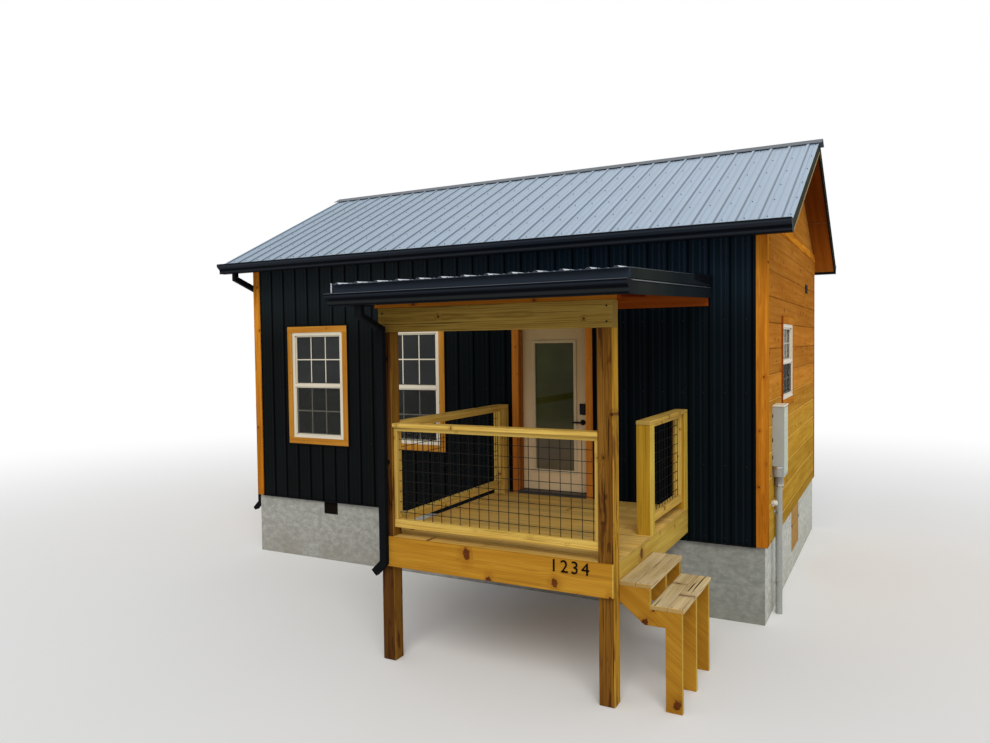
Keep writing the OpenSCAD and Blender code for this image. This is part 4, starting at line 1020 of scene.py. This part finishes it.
case, shaded_case, sash, bars, cloth, screens = Pile(), Pile(), Pile(), Pile(), Pile(), Pile()
half = WINDOW_WIDE / 2
for turn, gable in [(turn, False) for turn in LONG_WINDOWS] + [(turn, True) for turn in GABLE_WINDOWS]:
    h = WINDOW_WIDE if gable else WINDOW_HIGH
    head_left, leg_top, leg_pile = (-half, CASING, shaded_case) if gable else (-half - CASING, 0, case)
    for low, high in (((head_left, CASE_FACE, 0), (half + CASING, CASE_BACK, CASING)),
                      ((head_left, CASE_FACE, -h - CASING), (half + CASING, CASE_BACK, -h)),
                      ((half, CASE_FACE, -h), (half + CASING, CASE_BACK, 0))):
        case.block(low, high, 0.003, turn=turn)
    leg_pile.block((-half - CASING, CASE_FACE, -h - leg_top), (-half, CASE_BACK, leg_top), 0.003, turn=turn)
    opening = (h - MEET) / 2 - FRAME_W
    left, right = -half + FRAME_W, half - FRAME_W
    for upper in (True, False):
        top = -FRAME_W if upper else -FRAME_W - opening - MEET
        foot = top - opening
        stile, face, back = (0.020, 0.016, 0.036) if upper else (0.026, 0.026, 0.036)
        head, sill = (stile, 0.008) if upper else (0.010, stile)
        four_bars(sash, (left, foot), (right, top), (face, back), stile, head, sill, 0.002, turn)
        for k in (1, 2):
            x = left + stile + (right - left - 2 * stile) * k / 3
            bars.block((x - MUNTIN, back - 0.011, foot + stile),
                       (x + MUNTIN, back - 0.003, top - stile), 0.0025, turn=turn)
        middle = (top + foot) / 2
        bars.block((left + stile, back - 0.0108, middle - MUNTIN),
                   (right - stile, back - 0.0032, middle + MUNTIN), 0.0025, turn=turn)
        if not upper:
            bar = 0.014
            four_bars(screens, (left + 0.002, foot + 0.002), (right - 0.002, top), (0.006, 0.014),
                      bar, bar, bar, 0.002, turn)
            cloth.block((left + 0.010, 0.0095, foot + 0.010), (right - 0.010, 0.0105, top - 0.008), 0.0002,
                        turn=turn)
    for low, high in (((-half, -0.004, -h), (-half + 0.012, 0.0, 0)),
                      ((half - 0.012, -0.004, -h), (half, 0.0, 0)),
                      ((-half, -0.004, -0.012), (half, 0.0, 0)),
                      ((-half, -0.008, -h), (half, 0.0, -h + 0.016)),
                      ((left - 0.010, -0.005, -h / 2 - 0.020), (right + 0.010, 0.004, -h / 2 + 0.020))):
        sash.block(low, high, 0.002, turn=turn)
    for x in (-0.18, 0.18):
        sash.block((x - 0.030, 0.050, -h / 2 + 0.018), (x + 0.030, 0.075, -h / 2 + 0.034), 0.003, turn=turn)

DOOR_CASE_LEFT, DOOR_CASE_RIGHT, DOOR_CASE_TOP = 0.740, 1.628, 3.316
OUTER_LEFT, OUTER_RIGHT, OUTER_TOP = DOOR_CASE_LEFT - CASING, DOOR_CASE_RIGHT + CASING, DOOR_CASE_TOP + CASING
for (x0, z0), (x1, z1) in (((OUTER_LEFT, DECK), (DOOR_CASE_LEFT, DOOR_CASE_TOP)),
                           ((DOOR_CASE_RIGHT, DECK), (OUTER_RIGHT, DOOR_CASE_TOP)),
                           ((OUTER_LEFT, DOOR_CASE_TOP), (OUTER_RIGHT, OUTER_TOP))):
    case.block((x0, FRONT + CASE_FACE, z0), (x1, FRONT + CASE_BACK, z1), 0.003)
case.piece("window_and_door_casings", casing_wood, slot="stained_trim", replaces=("casings",))
shaded_case.piece("gable_casing_left_boards", shaded_casing, slot="stained_trim")
sash.piece("window_sashes", vinyl, slot="white_vinyl")
bars.piece("window_bars", bar_vinyl, slot="white_vinyl")
screens.piece("screen_frames", vinyl, slot="white_vinyl")
cloth.piece("screen_cloth", screen, slot="window_glass")

# Painted shade: a dark strip in the gap beside the far corner board of each gable.
gaps = Pile()
GAP, BAND_FOOT = 0.020, 4.080
for side in (1, -1):
    outer, corner = side * (SIDE + 0.0012), BACK - CORNER_BOARD
    gaps.block((outer, corner - GAP, CLAD_FOOT), (outer - side * 0.004, corner, BAND_FOOT), 0.0)
gaps.piece("gable_board_gap_shades", gap_shade, slot="stained_boards")

channels = Pile()
CHANNEL = 0.012
for turn in LONG_WINDOWS:
    side, top, foot = half + CASING, CASING, -WINDOW_HIGH - CASING
    for (x0, z0), (x1, z1) in (((-side - CHANNEL, foot), (-side, top)),
                               ((side, foot), (side + CHANNEL, top)),
                               ((-side - CHANNEL, top), (side + CHANNEL, top + CHANNEL)),
                               ((-side - CHANNEL, foot - CHANNEL), (side + CHANNEL, foot))):
        channels.block((x0, -0.013, z0), (x1, 0.008, z1), 0.001, turn=turn)
for (x0, z0), (x1, z1) in (((OUTER_LEFT - CHANNEL, DECK), (OUTER_LEFT, OUTER_TOP)),
                           ((OUTER_RIGHT, DECK), (OUTER_RIGHT + CHANNEL, OUTER_TOP)),
                           ((OUTER_LEFT - CHANNEL, OUTER_TOP), (OUTER_RIGHT + CHANNEL, OUTER_TOP + CHANNEL))):
    channels.block((x0, FRONT - 0.013, z0), (x1, FRONT + 0.008, z1), 0.001)
SIDING_END = SIDE - CORNER_BOARD
for y0, y1 in ((FRONT - 0.015, FRONT + 0.010), (BACK - 0.010, BACK + 0.015)):
    channels.block((-SIDING_END, y0, CLAD_FOOT - 0.004), (SIDING_END, y1, CLAD_FOOT + 0.008), 0.001)
channels.piece("siding_channels", black_trim, slot="charcoal_siding")


# Door

DOOR_LEFT, DOOR_FOOT, DOOR_FACE, DOOR_BACK = 0.752, 1.272, -0.0435, 0.0005
DOOR_MIDDLE = DOOR_LEFT + 0.432
LOCK_X = DOOR_LEFT + 0.804
KEYPAD_Z = DOOR_FOOT + 1.010
LEVER_Z = DOOR_FOOT + 0.850
KEY_PITCH_X, KEY_PITCH_Z = 0.018, 0.020


def by_jamb(centre, normal, key, middle):
    """Jambs stand, and the head of the frame lies between them."""
    if centre.z > DOOR_CASE_TOP - 0.031:
        return (1, 0, 0), (key, "head"), Vector((DOOR_MIDDLE, 0, DOOR_CASE_TOP))
    return (0, 0, 1), (key, centre.x > DOOR_MIDDLE), Vector((centre.x, -0.06, 2.3))


dressed("door_frame", "door_jambs", jamb_stain, by_jamb, 0.0015)
trim = Pile()
lite_low = Vector((DOOR_LEFT + 0.140, 0, DOOR_FOOT + 0.218))
lite_high = Vector((DOOR_LEFT + 0.724, 0, DOOR_FOOT + 1.848))
for y0, y1 in ((DOOR_FACE - 0.015, DOOR_FACE - 0.009), (DOOR_BACK + 0.009, DOOR_BACK + 0.015)):
    for inset, width, extra in ((0.002, 0.016, 0.0), (0.021, 0.012, -0.002)):
        a, b = lite_low + Vector((inset, 0, inset)), lite_high - Vector((inset, 0, inset))
        out, inn = (y0 - extra, y1) if y0 < 0 else (y0, y1 + extra)
        trim.block((a.x, out, a.z), (a.x + width, inn, b.z), 0.0025)
        trim.block((b.x - width, out, a.z), (b.x, inn, b.z), 0.0025)
        trim.block((a.x + width, out, a.z), (b.x - width, inn, a.z + width), 0.0025)
        trim.block((a.x + width, out, b.z - width), (b.x - width, inn, b.z), 0.0025)
trim.piece("door_lite_frame", lite_paint, "door", "cream_paint")
sweep = Pile()
sweep.block((DOOR_LEFT + 0.004, DOOR_FACE + 0.002, DOOR_FOOT - 0.0045),
            (DOOR_LEFT + 0.860, DOOR_FACE + 0.020, DOOR_FOOT + 0.001), 0.001)
sweep.piece("door_sweep", seal_rubber, "door", "dark_sill")
keys = Pile()
for row in range(4):
    for column in (-1, 0, 1):
        x, z = LOCK_X + column * KEY_PITCH_X, KEYPAD_Z + 0.036 - row * KEY_PITCH_Z
        keys.rod((x, DOOR_FACE - 0.0238, z), (x, DOOR_FACE - 0.0262, z), 0.0066, 14)
z = KEYPAD_Z - 0.048
keys.rod((LOCK_X, DOOR_FACE - 0.0238, z), (LOCK_X, DOOR_FACE - 0.0265, z), 0.009, 20)
keys.piece("keypad_buttons", key_plastic, "door", "black_hardware")
plates = Pile()
for y, away in ((DOOR_FACE, -1), (DOOR_BACK, 1)):
    for start, end, radius, sides in ((0.008, 0.011, 0.026, 32), (0.050, 0.0595, 0.010, 24)):
        plates.rod((LOCK_X, y + away * start, LEVER_Z), (LOCK_X, y + away * end, LEVER_Z), radius, sides)
plates.block((LOCK_X - 0.0362, DOOR_FACE - 0.0235, KEYPAD_Z - 0.0672),
             (LOCK_X + 0.0362, DOOR_FACE - 0.002, KEYPAD_Z + 0.0672), 0.006)
plates.block((LOCK_X - 0.012, DOOR_BACK + 0.021, KEYPAD_Z - 0.020),
             (LOCK_X + 0.012, DOOR_BACK + 0.034, KEYPAD_Z + 0.020), 0.005)
plates.piece("lock_plates", hardware_paint, "door", "black_hardware")


# Porch

LATH = 0.038
CAP_FOOT = DECK + 1.1 - LATH
POST_BURIED = 1.200  # where the rail's own posts end, inside the deck


def rail_boards(pile, length, turn, before=0.0, after=0.0):
    """Cap, bottom rail and both layers of strips of one panel, along X from its left end."""
    foot, strip = DECK + 0.087, DECK + 0.087 + LATH
    pile.block((-before, 0, CAP_FOOT), (length + after, 0.140, CAP_FOOT + LATH), 0.004, 0, turn)
    pile.block((0, 0.0255, foot), (length, 0.1145, strip), 0.004, 0, turn)
    for y in (0.0292, 0.0728):
        pile.block((0, y, CAP_FOOT - LATH), (length, y + LATH, CAP_FOOT), 0.003, 0, turn)
        pile.block((0, y, strip), (length, y + LATH, strip + LATH), 0.003, 0, turn)
        for x in (0, length - LATH):
            pile.block((x, y, strip + LATH), (x + LATH, y + LATH, CAP_FOOT - LATH), 0.003, 2, turn)


quarter = Matrix.Rotation(math.pi / 2, 4, "Z")
front_rails, left_rails, right_rails, rail_posts = Pile(), Pile(), Pile(), Pile()
rail_boards(front_rails, 2.100, Matrix.Translation((POST_LEFT + POST, POST_Y, 0)))
front_rails.piece("front_rail_boards", pine_yellow, slot="treated_pine", replaces=("front_rail",))
rail_boards(left_rails, 2.220, Matrix.Translation((POST_LEFT + POST, POST_Y + POST, 0)) @ quarter, 0.0, POST)
left_rails.block((POST_LEFT, FRONT - POST, POST_BURIED), (POST_LEFT + POST, FRONT, CAP_FOOT), 0.004)
left_rails.piece("left_rail_boards", pine_yellow, slot="treated_pine", replaces=("left_rail",))
rail_boards(right_rails, 1.155, Matrix.Translation((POST_RIGHT, NEWEL_BACK, 0)) @ quarter, POST + 0.008, POST)
right_rails.piece("right_rail_boards", pine_yellow, slot="treated_pine", replaces=("right_rail",))
for y in (FRONT, NEWEL_BACK):
    rail_posts.block((POST_RIGHT - POST, y - POST, POST_BURIED), (POST_RIGHT, y, CAP_FOOT), 0.004)
rail_posts.piece("right_rail_posts", pine_newel, slot="treated_pine")

dressed("porch_posts", "porch_post_timbers", pine_post, None, 0.005)
dressed("porch_beam", "porch_beam_timber", pine_beam, None, 0.004)
dressed("deck_boards", "deck_planks", deck_wood, None, 0.004)
dressed("step_treads", "step_tread_boards", tread_wood, None, 0.004)
dressed("step_stringers", "step_stringer_boards", pine_rim,
        leaning(0.8, 0, -0.6), 0.003)


PORCH_MIDDLE_X = (POST_LEFT + POST_RIGHT) / 2
PORCH_MIDDLE_Y = -1.4


def by_rim(centre, normal, key, middle):
    """Deck joists run along Y, and the rims in front and at the house along X."""
    if abs(normal.x) > 0.7 and centre.y > POST_Y:
        return (0, 1, 0), ("side", round(centre.x, 1)), Vector((centre.x, PORCH_MIDDLE_Y, 1.08))
    return (1, 0, 0), ("rim", centre.y > PORCH_MIDDLE_Y), Vector((PORCH_MIDDLE_X, centre.y, 1.08))


def by_rafter(centre, normal, key, middle):
    """The porch roof's rafters fall gently along Y, and its plates lie along X."""
    if abs(normal.x) > 0.7:
        return (0, 1, 0.06), ("rafter", round(centre.x, 1)), Vector((centre.x, PORCH_MIDDLE_Y, 3.6))
    plate = ("plate", round(centre.y, 1), round(centre.z, 1))
    return (1, 0, 0), plate, Vector((PORCH_MIDDLE_X, centre.y, centre.z))


dressed("deck_frame", "deck_rims_and_joists", pine_rim, by_rim, 0.004)
dressed("porch_roof_frame", "porch_roof_lumber", porch_lumber, by_rafter, 0.002)


# Fasteners

ROOF_TOP = ROOF_FOOT + 0.140 + 0.5 * (MIDDLE + 0.1015)
ROOF_SCREW = dict(head_radius=0.0050, head_height=0.012, washer_radius=0.0085, sides=6)
SIDING_SCREW = dict(head_radius=0.0048, head_height=0.010, washer_radius=0.0080, sides=6)
DECK_SCREW = dict(head_radius=0.0040, head_height=0.0015, washer_radius=0.0045, sides=8)
TREAD_SCREW = dict(head_radius=0.0042, head_height=0.0016, washer_radius=0.0048, sides=8)
BEAM_BOLT = dict(head_radius=0.006, head_height=0.006, washer_radius=0.009, sides=6)

ribs = int((ROOF_LENGTH - RIB_EDGE) / RIB) + 1
rib_middle = -ROOF_LENGTH / 2 + RIB_EDGE + (ribs - 1) * RIB / 2
slope_length = (MIDDLE + 0.4435) / math.cos(ROOF_TILT)


def on_roof(side, reach, lift):
    """The Y and Z of a place this far down the front or back slope."""
    return MIDDLE + side * reach * math.cos(ROOF_TILT), ROOF_TOP - reach * math.sin(ROOF_TILT) + lift


fields = []
for side in (-1, 1):
    for k in range(6):
        y, z = on_roof(side, 0.20 + k * (slope_length - 0.30) / 5, 0.0035)
        fields.append(grown(FASTENERS, (rib_middle + 0.095, y, z), screw_paint, columns=ribs,
                            width=(ribs - 1) * RIB, turn=(-side * ROOF_TILT, 0.0, 0.0), **ROOF_SCREW))
joined("roof_screws", fields, screw_paint)


def on_siding(point):
    """Whether a place on a long wall is clear of its windows and door."""
    front = point.y < 0
    clear = CASING + 0.015
    door_left, door_right, door_top = 0.60, 1.74, 3.44
    for x in WINDOW_XS:
        beside = abs(point.x - (x if front else -x)) < WINDOW_WIDE / 2 + clear
        if beside and WINDOW_TOP - WINDOW_HIGH - clear < point.z < WINDOW_TOP + clear:
            return False
    return not (front and door_left < point.x < door_right and point.z < door_top)


siding_length = 2 * SIDING_END
count = int((siding_length - RIB_EDGE) / RIB) + 1
start = siding_length / 2 - RIB_EDGE - 0.042
fields = []
for y, way in ((FRONT + 0.013, 1), (BACK - 0.013, -1)):
    for k in range(5):
        place = (way * (start - (count - 1) * RIB / 2), y, CLAD_FOOT + 0.065 + k * 0.80)
        fields.append(grown(FASTENERS, place, siding_screw_paint, columns=count, width=(count - 1) * RIB,
                            turn=(way * math.pi / 2, 0.0, 0.0), keep=on_siding, **SIDING_SCREW))
joined("siding_screws", fields, siding_screw_paint)

PLANK = 0.14706  # from one deck board to the next
JOIST = 0.3353
screws = []
for column in range(7):
    for k in range(17):
        x, y = POST_LEFT + 0.165 + column * JOIST, POST_Y + 0.035 + k * PLANK
        if y <= FRONT - 0.12:
            screws.append(grown(FASTENERS, (x, y + 0.035, DECK - 0.0008), sill_metal, rows=2, height=0.070,
                                **DECK_SCREW))
joined("deck_screws", screws, sill_metal)

CLOSURE_REACH = 0.150
closures = []
for side in (-1, 1):
    closures.append(grown(BLOCKS, (rib_middle, *on_roof(side, CLOSURE_REACH, 0.013)), foam, columns=ribs - 1,
                          width=(ribs - 2) * RIB, turn=(-side * ROOF_TILT, 0.0, 0.0),
                          block=(RIB - 0.045, 0.030, 0.019)))
joined("ridge_closures", closures, foam)

WIRES = 0.1016  # from one wire of the mesh to the next
STRIP_TOP = DECK + 0.087 + 2 * LATH
staples = []
for count, x, y, turn in ((19, PORCH_MIDDLE_X, POST_Y + 0.062, 0.0),
                          (20, POST_LEFT + 0.078, -1.382, math.pi / 2),
                          (10, POST_RIGHT - 0.062, -0.849, math.pi / 2)):
    staples.append(grown(BLOCKS, (x, y, STRIP_TOP), steel, columns=count, width=(count - 1) * WIRES,
                         turn=(0.0, 0.0, turn), block=(0.010, 0.007, 0.004)))
joined("mesh_staples", staples, steel)

bolts = []
for x in (POST_LEFT + 0.050, POST_RIGHT - 0.050):
    bolts.append(grown(FASTENERS, (x, POST_Y - 0.001, 3.320), hardware_paint, rows=2, height=0.130,
                       turn=(math.pi / 2, 0.0, 0.0), **BEAM_BOLT))
for x, top in ((2.9025, 1.053), (3.0455, 1.053), (3.1705, 0.881), (3.3135, 0.881)):
    bolts.append(grown(FASTENERS, (x, -1.999, top - 0.0008), hardware_paint, columns=2, rows=3, width=0.070,
                       height=0.967, **TREAD_SCREW))
joined("beam_bolts_and_tread_screws", bolts, hardware_paint)


# Gutters, spouts and roof edges

def roof_under(y):
    return ROOF_FOOT + 0.5 * (y + 0.1015)


def porch_top(y):
    return PORCH_ROOF_TOP + PORCH_ROOF_SLOPE * (y - POST_Y)


def both_ways(y):
    """A place at the front eave and its mirror image at the rear one."""
    return y, 2 * MIDDLE - y


lips, straps = Pile(), Pile()
GUTTER_ROWS = (  # left, right, front, lower front, rim and foot of the two kinds of gutter
    (-3.9795, 3.9795, -0.5558, -0.5041, 4.302, 4.166),
    (0.195, 3.120, -3.1158, -3.0655, 3.5611, 3.4531))
# The lips along the gutters' front rims are painted highlights; the beads at the gutters' feet stay black.
for x0, x1, front, lower, rim, foot in GUTTER_ROWS:
    for pile, (y0, y1), (z0, z1) in ((lips, (front, front + 0.010), (rim - 0.001, rim + 0.004)),
                                     (straps, (lower - 0.003, lower + 0.009), (foot - 0.003, foot + 0.004))):
        pile.block((x0, y0, z0), (x1, y1, z1), 0.0015)
        if front > POST_Y:
            pile.block((x0, 2 * MIDDLE - y0, z0), (x1, 2 * MIDDLE - y1, z1), 0.0015)
TRIM_BACK = FRONT - 0.021
LIP = 0.0055
# Painted highlight lines under the porch trim's bands, on both sides.
for x in (PORCH_ROOF_LEFT - LIP, PORCH_ROOF_RIGHT):
    outline = []
    for y, up in ((PORCH_TRIM_Y, -0.004), (TRIM_BACK, -0.004), (TRIM_BACK, 0.004), (PORCH_TRIM_Y, 0.004)):
        drop = 0.078 + 0.034 * (y - PORCH_TRIM_Y) / (TRIM_BACK - PORCH_TRIM_Y)
        outline.append((y, porch_top(y) - drop - 0.013 + up))
    lips.slab(outline, x, x + LIP, 0)
lips.piece("gutter_and_trim_lip_highlights", lip_highlight, slot="black_trim")

HANGER = (0.025, 0.146, 0.002)
hangers = [grown(BLOCKS, (0.0, y, 4.292), black_trim, columns=14, width=7.8, block=HANGER)
           for y in both_ways(-0.4798)]
hangers.append(grown(BLOCKS, (1.6575, -3.0398, 3.552), black_trim, columns=5, width=2.6, block=HANGER))
joined("gutter_hangers", hangers, black_trim)

SPOUT_X, SPOUT_Y = 0.528, -2.6953
STRAP = 0.014  # half a strap's height
for z, back in ((2.95, POST_Y), (1.95, POST_Y), (1.12, SKIRT_Y)):
    straps.block((SPOUT_X - 0.0395, SPOUT_Y - 0.0270, z - STRAP), (SPOUT_X + 0.0395, back, z + STRAP), 0.001)
for y in both_ways(-0.0415):
    for z in (3.40, 2.20, 1.05):
        straps.block((-SIDE - 0.0530, y - 0.0395, z - STRAP), (-SIDE - 0.0005, y + 0.0395, z + STRAP), 0.001)
straps.piece("spout_straps_and_gutter_beads", black_trim, slot="black_trim")

edges, ends, flaps = Pile(), Pile(), Pile()
low_end, high_end = roof_under(EAVE_EDGE), roof_under(MIDDLE)
for x in (-3.981, 3.9765):
    for y in both_ways(EAVE_EDGE):
        edges.slab([(y, low_end - 0.014), (MIDDLE, high_end - 0.014), (MIDDLE, high_end + 0.012),
                    (y, low_end + 0.012)], x, x + 0.0045, 0)
edges.piece("rake_board_edges", rake_board, slot="stained_trim")
ends.block((0.187, -3.0030, 3.580), (0.199, -2.9950, 3.668), 0.001)
ends.piece("folded_roof_end", folded_metal, slot="roof_metal")
for y0, y1, drop in ((FRONT - 0.78, FRONT - 0.52, 0.050), (FRONT - 0.53, FRONT - 0.018, 0.076)):
    middle = porch_top((y0 + y1) / 2)
    flaps.block((3.094, y0, middle - drop), (3.110, y1, middle + 0.006), 0.003)
roof_end = porch_top(FRONT)
flaps.block((3.100, FRONT - 0.060, roof_end - 0.120), (3.114, FRONT - 0.018, roof_end + 0.012), 0.002)
flaps.piece("wall_flashing_end", gutter_paint, slot="black_trim")


# Meter, hose tap, gable vent and hatch

METER_FRONT, METER_BACK, METER_FOOT, METER_TOP = 0.2185, 0.5185, 1.570, 2.360
METER_OUT = SIDE + 0.120
WALL_FACE = SIDE + 0.0005
CONDUIT = (3.736, 0.3685)
HUB = (SIDE + 0.056, METER_FRONT + 0.010)
hood, cover, collar, ears, fittings = Pile(), Pile(), Pile(), Pile(), Pile()


def upright(pile, place, foot, top, radius, sides=32):
    pile.rod((*place, foot), (*place, top), radius, sides)


hood.block((WALL_FACE, METER_FRONT - 0.010, METER_TOP - 0.010),
           (METER_OUT + 0.010, METER_BACK + 0.010, METER_TOP + 0.007), 0.003)
hood.block((METER_OUT + 0.004, METER_FRONT + 0.022, METER_TOP - 0.125),
           (METER_OUT + 0.009, METER_FRONT + 0.060, METER_TOP - 0.060), 0.001)
hood.piece("meter_hood", hood_paint, slot="grey_box")
cover.block((METER_OUT - 0.001, METER_FRONT + 0.010, METER_FOOT + 0.030),
            (METER_OUT + 0.006, METER_BACK - 0.010, METER_TOP - 0.022), 0.003)
cover.piece("meter_cover", hood_enamel, slot="grey_box")
upright(collar, HUB, METER_FOOT + 0.008, METER_FOOT + 0.102, 0.052)
upright(collar, CONDUIT, 1.4505, 1.5695, 0.0492)
collar.piece("meter_hub_and_conduit_fitting", hub_paint, slot="grey_box")
for z in (METER_TOP - 0.130, METER_FOOT + 0.390, METER_FOOT + 0.200):
    ears.block((WALL_FACE, METER_FRONT - 0.016, z), (SIDE + 0.007, METER_FRONT + 0.001, z + 0.036), 0.001)
ears.piece("meter_ears_and_latch", vent_plastic, slot="black_hardware")
upright(fittings, HUB, METER_FOOT + 0.100, METER_FOOT + 0.122, 0.0575)
upright(fittings, CONDUIT, 1.452, 1.474, 0.054, 8)
for z in (0.34, 1.14):
    upright(fittings, CONDUIT, z, z + 0.025, 0.0385)
    fittings.block((WALL_FACE, CONDUIT[1] - 0.058, z), (SIDE + 0.004, CONDUIT[1] + 0.058, z + 0.025), 0.001)
fittings.piece("conduit_straps_and_nuts", steel, slot="grey_box")

tap = Pile()
TAP_Y, TAP_Z = 0.170, 1.290
for start, end, radius in ((0.0005, 0.006, 0.024), (0.006, 0.020, 0.012), (0.018, 0.026, 0.025),
                           (0.026, 0.050, 0.030), (0.050, 0.057, 0.025), (0.057, 0.061, 0.016)):
    tap.rod((SIDE + start, TAP_Y, TAP_Z), (SIDE + end, TAP_Y, TAP_Z), radius, 28)
tap.rod((SIDE + 0.012, TAP_Y, TAP_Z - 0.008), (SIDE + 0.014, TAP_Y, TAP_Z - 0.040), 0.010, 20)
tap.piece("hose_tap", hose_plastic, slot="grey_box")

vent = Pile()
VENT_OUT, VENT_EDGE = SIDE + 0.010, 0.016
(y0, y1), (z0, z1) = (3.420, 3.670), (3.770, 3.900)
vent.block((WALL_FACE, y0, z0), (WALL_FACE + 0.002, y1, z1), 0.0005)
for y in (y0, y1 - VENT_EDGE):
    vent.block((WALL_FACE, y, z0), (VENT_OUT, y + VENT_EDGE, z1), 0.002)
for k in range(5):
    z = z0 + k * 0.0285
    vent.block((WALL_FACE, y0, z), (VENT_OUT - 0.001, y1, z + 0.014), 0.003)
vent.piece("gable_vent", vent_plastic, slot="black_vent")
buttons = Pile()
for y in (2.135, 2.835):
    buttons.block((3.6575, y, 0.585), (3.6645, y + 0.036, 0.617), 0.002)
buttons.piece("hatch_turn_buttons", hardware_paint, slot="black_hardware")


# Numerals on the rim

letters = bpy.data.curves.new("numerals", "FONT")
letters.body = "1234"
letters.size = 0.155
letters.extrude = 0.003
letters.resolution_u = 4
letters.space_character = 1.25
carrier = bpy.data.objects.new("numerals_carrier", letters)
bpy.context.scene.collection.objects.link(carrier)
flat = bpy.data.meshes.new_from_object(carrier.evaluated_get(bpy.context.evaluated_depsgraph_get()))
bpy.data.objects.remove(carrier)
flat.transform(Matrix.Translation((2.265, SKIRT_Y - 0.0032, 1.112)) @ Matrix.Rotation(math.pi / 2, 4, "X"))
to_object("house_numerals", flat, numeral_paint)


# Stage, light and camera

def stage_floor():
    """A pale floor that keeps the house's shadow and turns white towards the horizon."""
    reach, depth = 90, -0.001
    corners = [(-reach, -reach, depth), (reach, -reach, depth), (reach, reach, depth), (-reach, reach, depth)]
    mesh = bpy.data.meshes.new("floor")
    mesh.from_pydata(corners, [], [(0, 1, 2, 3)])
    floor = bpy.data.objects.new("floor", mesh)
    bpy.context.scene.collection.objects.link(floor)
    f = Finish("stage_floor", roughness=0.9, specular=0.0)
    where = f.place()
    f.set(base_color=f.mix(f.noise(where, 0.5, 2.0), (0.80, 0.80, 0.79), (0.82, 0.82, 0.81)))
    away = f.node("ShaderNodeVectorMath", {"operation": "LENGTH"}, {0: where - (0.0, 1.0, 0.0)}, "Value")
    seen, gloss, through = [f.node("ShaderNodeLightPath", {}, {}, ray)
                            for ray in ("Is Camera Ray", "Is Glossy Ray", "Is Transmission Ray")]
    share = away.smooth(7.0, 20.0) * (seen + gloss + through)
    glow = f.tree.nodes.new("ShaderNodeEmission")
    glow.inputs["Color"].default_value = (1, 1, 1, 1)
    mixer = f.tree.nodes.new("ShaderNodeMixShader")
    f.tree.links.new(share.socket, mixer.inputs[0])
    f.tree.links.new(f.shader.outputs[0], mixer.inputs[1])
    f.tree.links.new(glow.outputs[0], mixer.inputs[2])
    f.tree.links.new(mixer.outputs[0], f.output.inputs["Surface"])
    mesh.materials.append(f.material)
    floor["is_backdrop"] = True


def studio_light():
    """Soft light from all round and one wide sun; what sees the world itself sees white."""
    world = bpy.data.worlds.new("studio")
    bpy.context.scene.world = world
    world.use_nodes = True
    tree = world.node_tree
    tree.nodes.clear()

    def sky(tint, strength):
        made = tree.nodes.new("ShaderNodeBackground")
        made.inputs["Color"].default_value = (*tint, 1)
        made.inputs["Strength"].default_value = strength
        return made.outputs[0]

    def total(first, second, clamp=False):
        made = tree.nodes.new("ShaderNodeMath")
        made.operation = "ADD"
        made.use_clamp = clamp
        tree.links.new(first, made.inputs[0])
        tree.links.new(second, made.inputs[1])
        return made.outputs[0]

    path = tree.nodes.new("ShaderNodeLightPath").outputs
    mirrored = total(path["Is Glossy Ray"], path["Is Transmission Ray"])
    mixer = tree.nodes.new("ShaderNodeMixShader")
    output = tree.nodes.new("ShaderNodeOutputWorld")
    tree.links.new(total(path["Is Camera Ray"], mirrored, clamp=True), mixer.inputs[0])
    tree.links.new(sky((0.93, 0.96, 1.0), 0.62), mixer.inputs[1])
    tree.links.new(sky((1, 1, 1), 1.0), mixer.inputs[2])
    tree.links.new(mixer.outputs[0], output.inputs["Surface"])

    sun = bpy.data.lights.new("key", "SUN")
    sun.energy = 1.65
    sun.angle = math.radians(40)
    sun.color = (1.0, 0.97, 0.92)
    lamp = bpy.data.objects.new("key", sun)
    lamp.rotation_euler = Vector((-0.42, 0.85, -0.90)).to_track_quat("-Z", "Y").to_euler()
    bpy.context.scene.collection.objects.link(lamp)


def camera():
    """The photograph's own view."""
    photo_width, focal_pixels = 990, 770.9
    yaw, pitch, roll = math.radians(27.881), math.radians(1.994), math.radians(-0.728)
    forward = Vector((-math.sin(yaw) * math.cos(pitch), math.cos(yaw) * math.cos(pitch), -math.sin(pitch)))
    right = Vector((math.cos(yaw), math.sin(yaw), 0))
    up = right.cross(forward)
    across = right * math.cos(roll) + up * math.sin(roll)
    above = up * math.cos(roll) - right * math.sin(roll)
    turn = Matrix((across, above, -forward)).transposed()
    view = bpy.data.cameras.new("view")
    view.sensor_width = 36.0
    view.lens = focal_pixels / photo_width * view.sensor_width
    view.clip_end = 500.0
    eye = bpy.data.objects.new("view", view)
    eye.matrix_world = Matrix.Translation((4.957, -8.726, 3.073)) @ turn.to_4x4()
    bpy.context.scene.collection.objects.link(eye)
    bpy.context.scene.camera = eye


stage_floor()
studio_light()
camera()
bpy.context.scene.view_settings.view_transform = "Standard"

low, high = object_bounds()
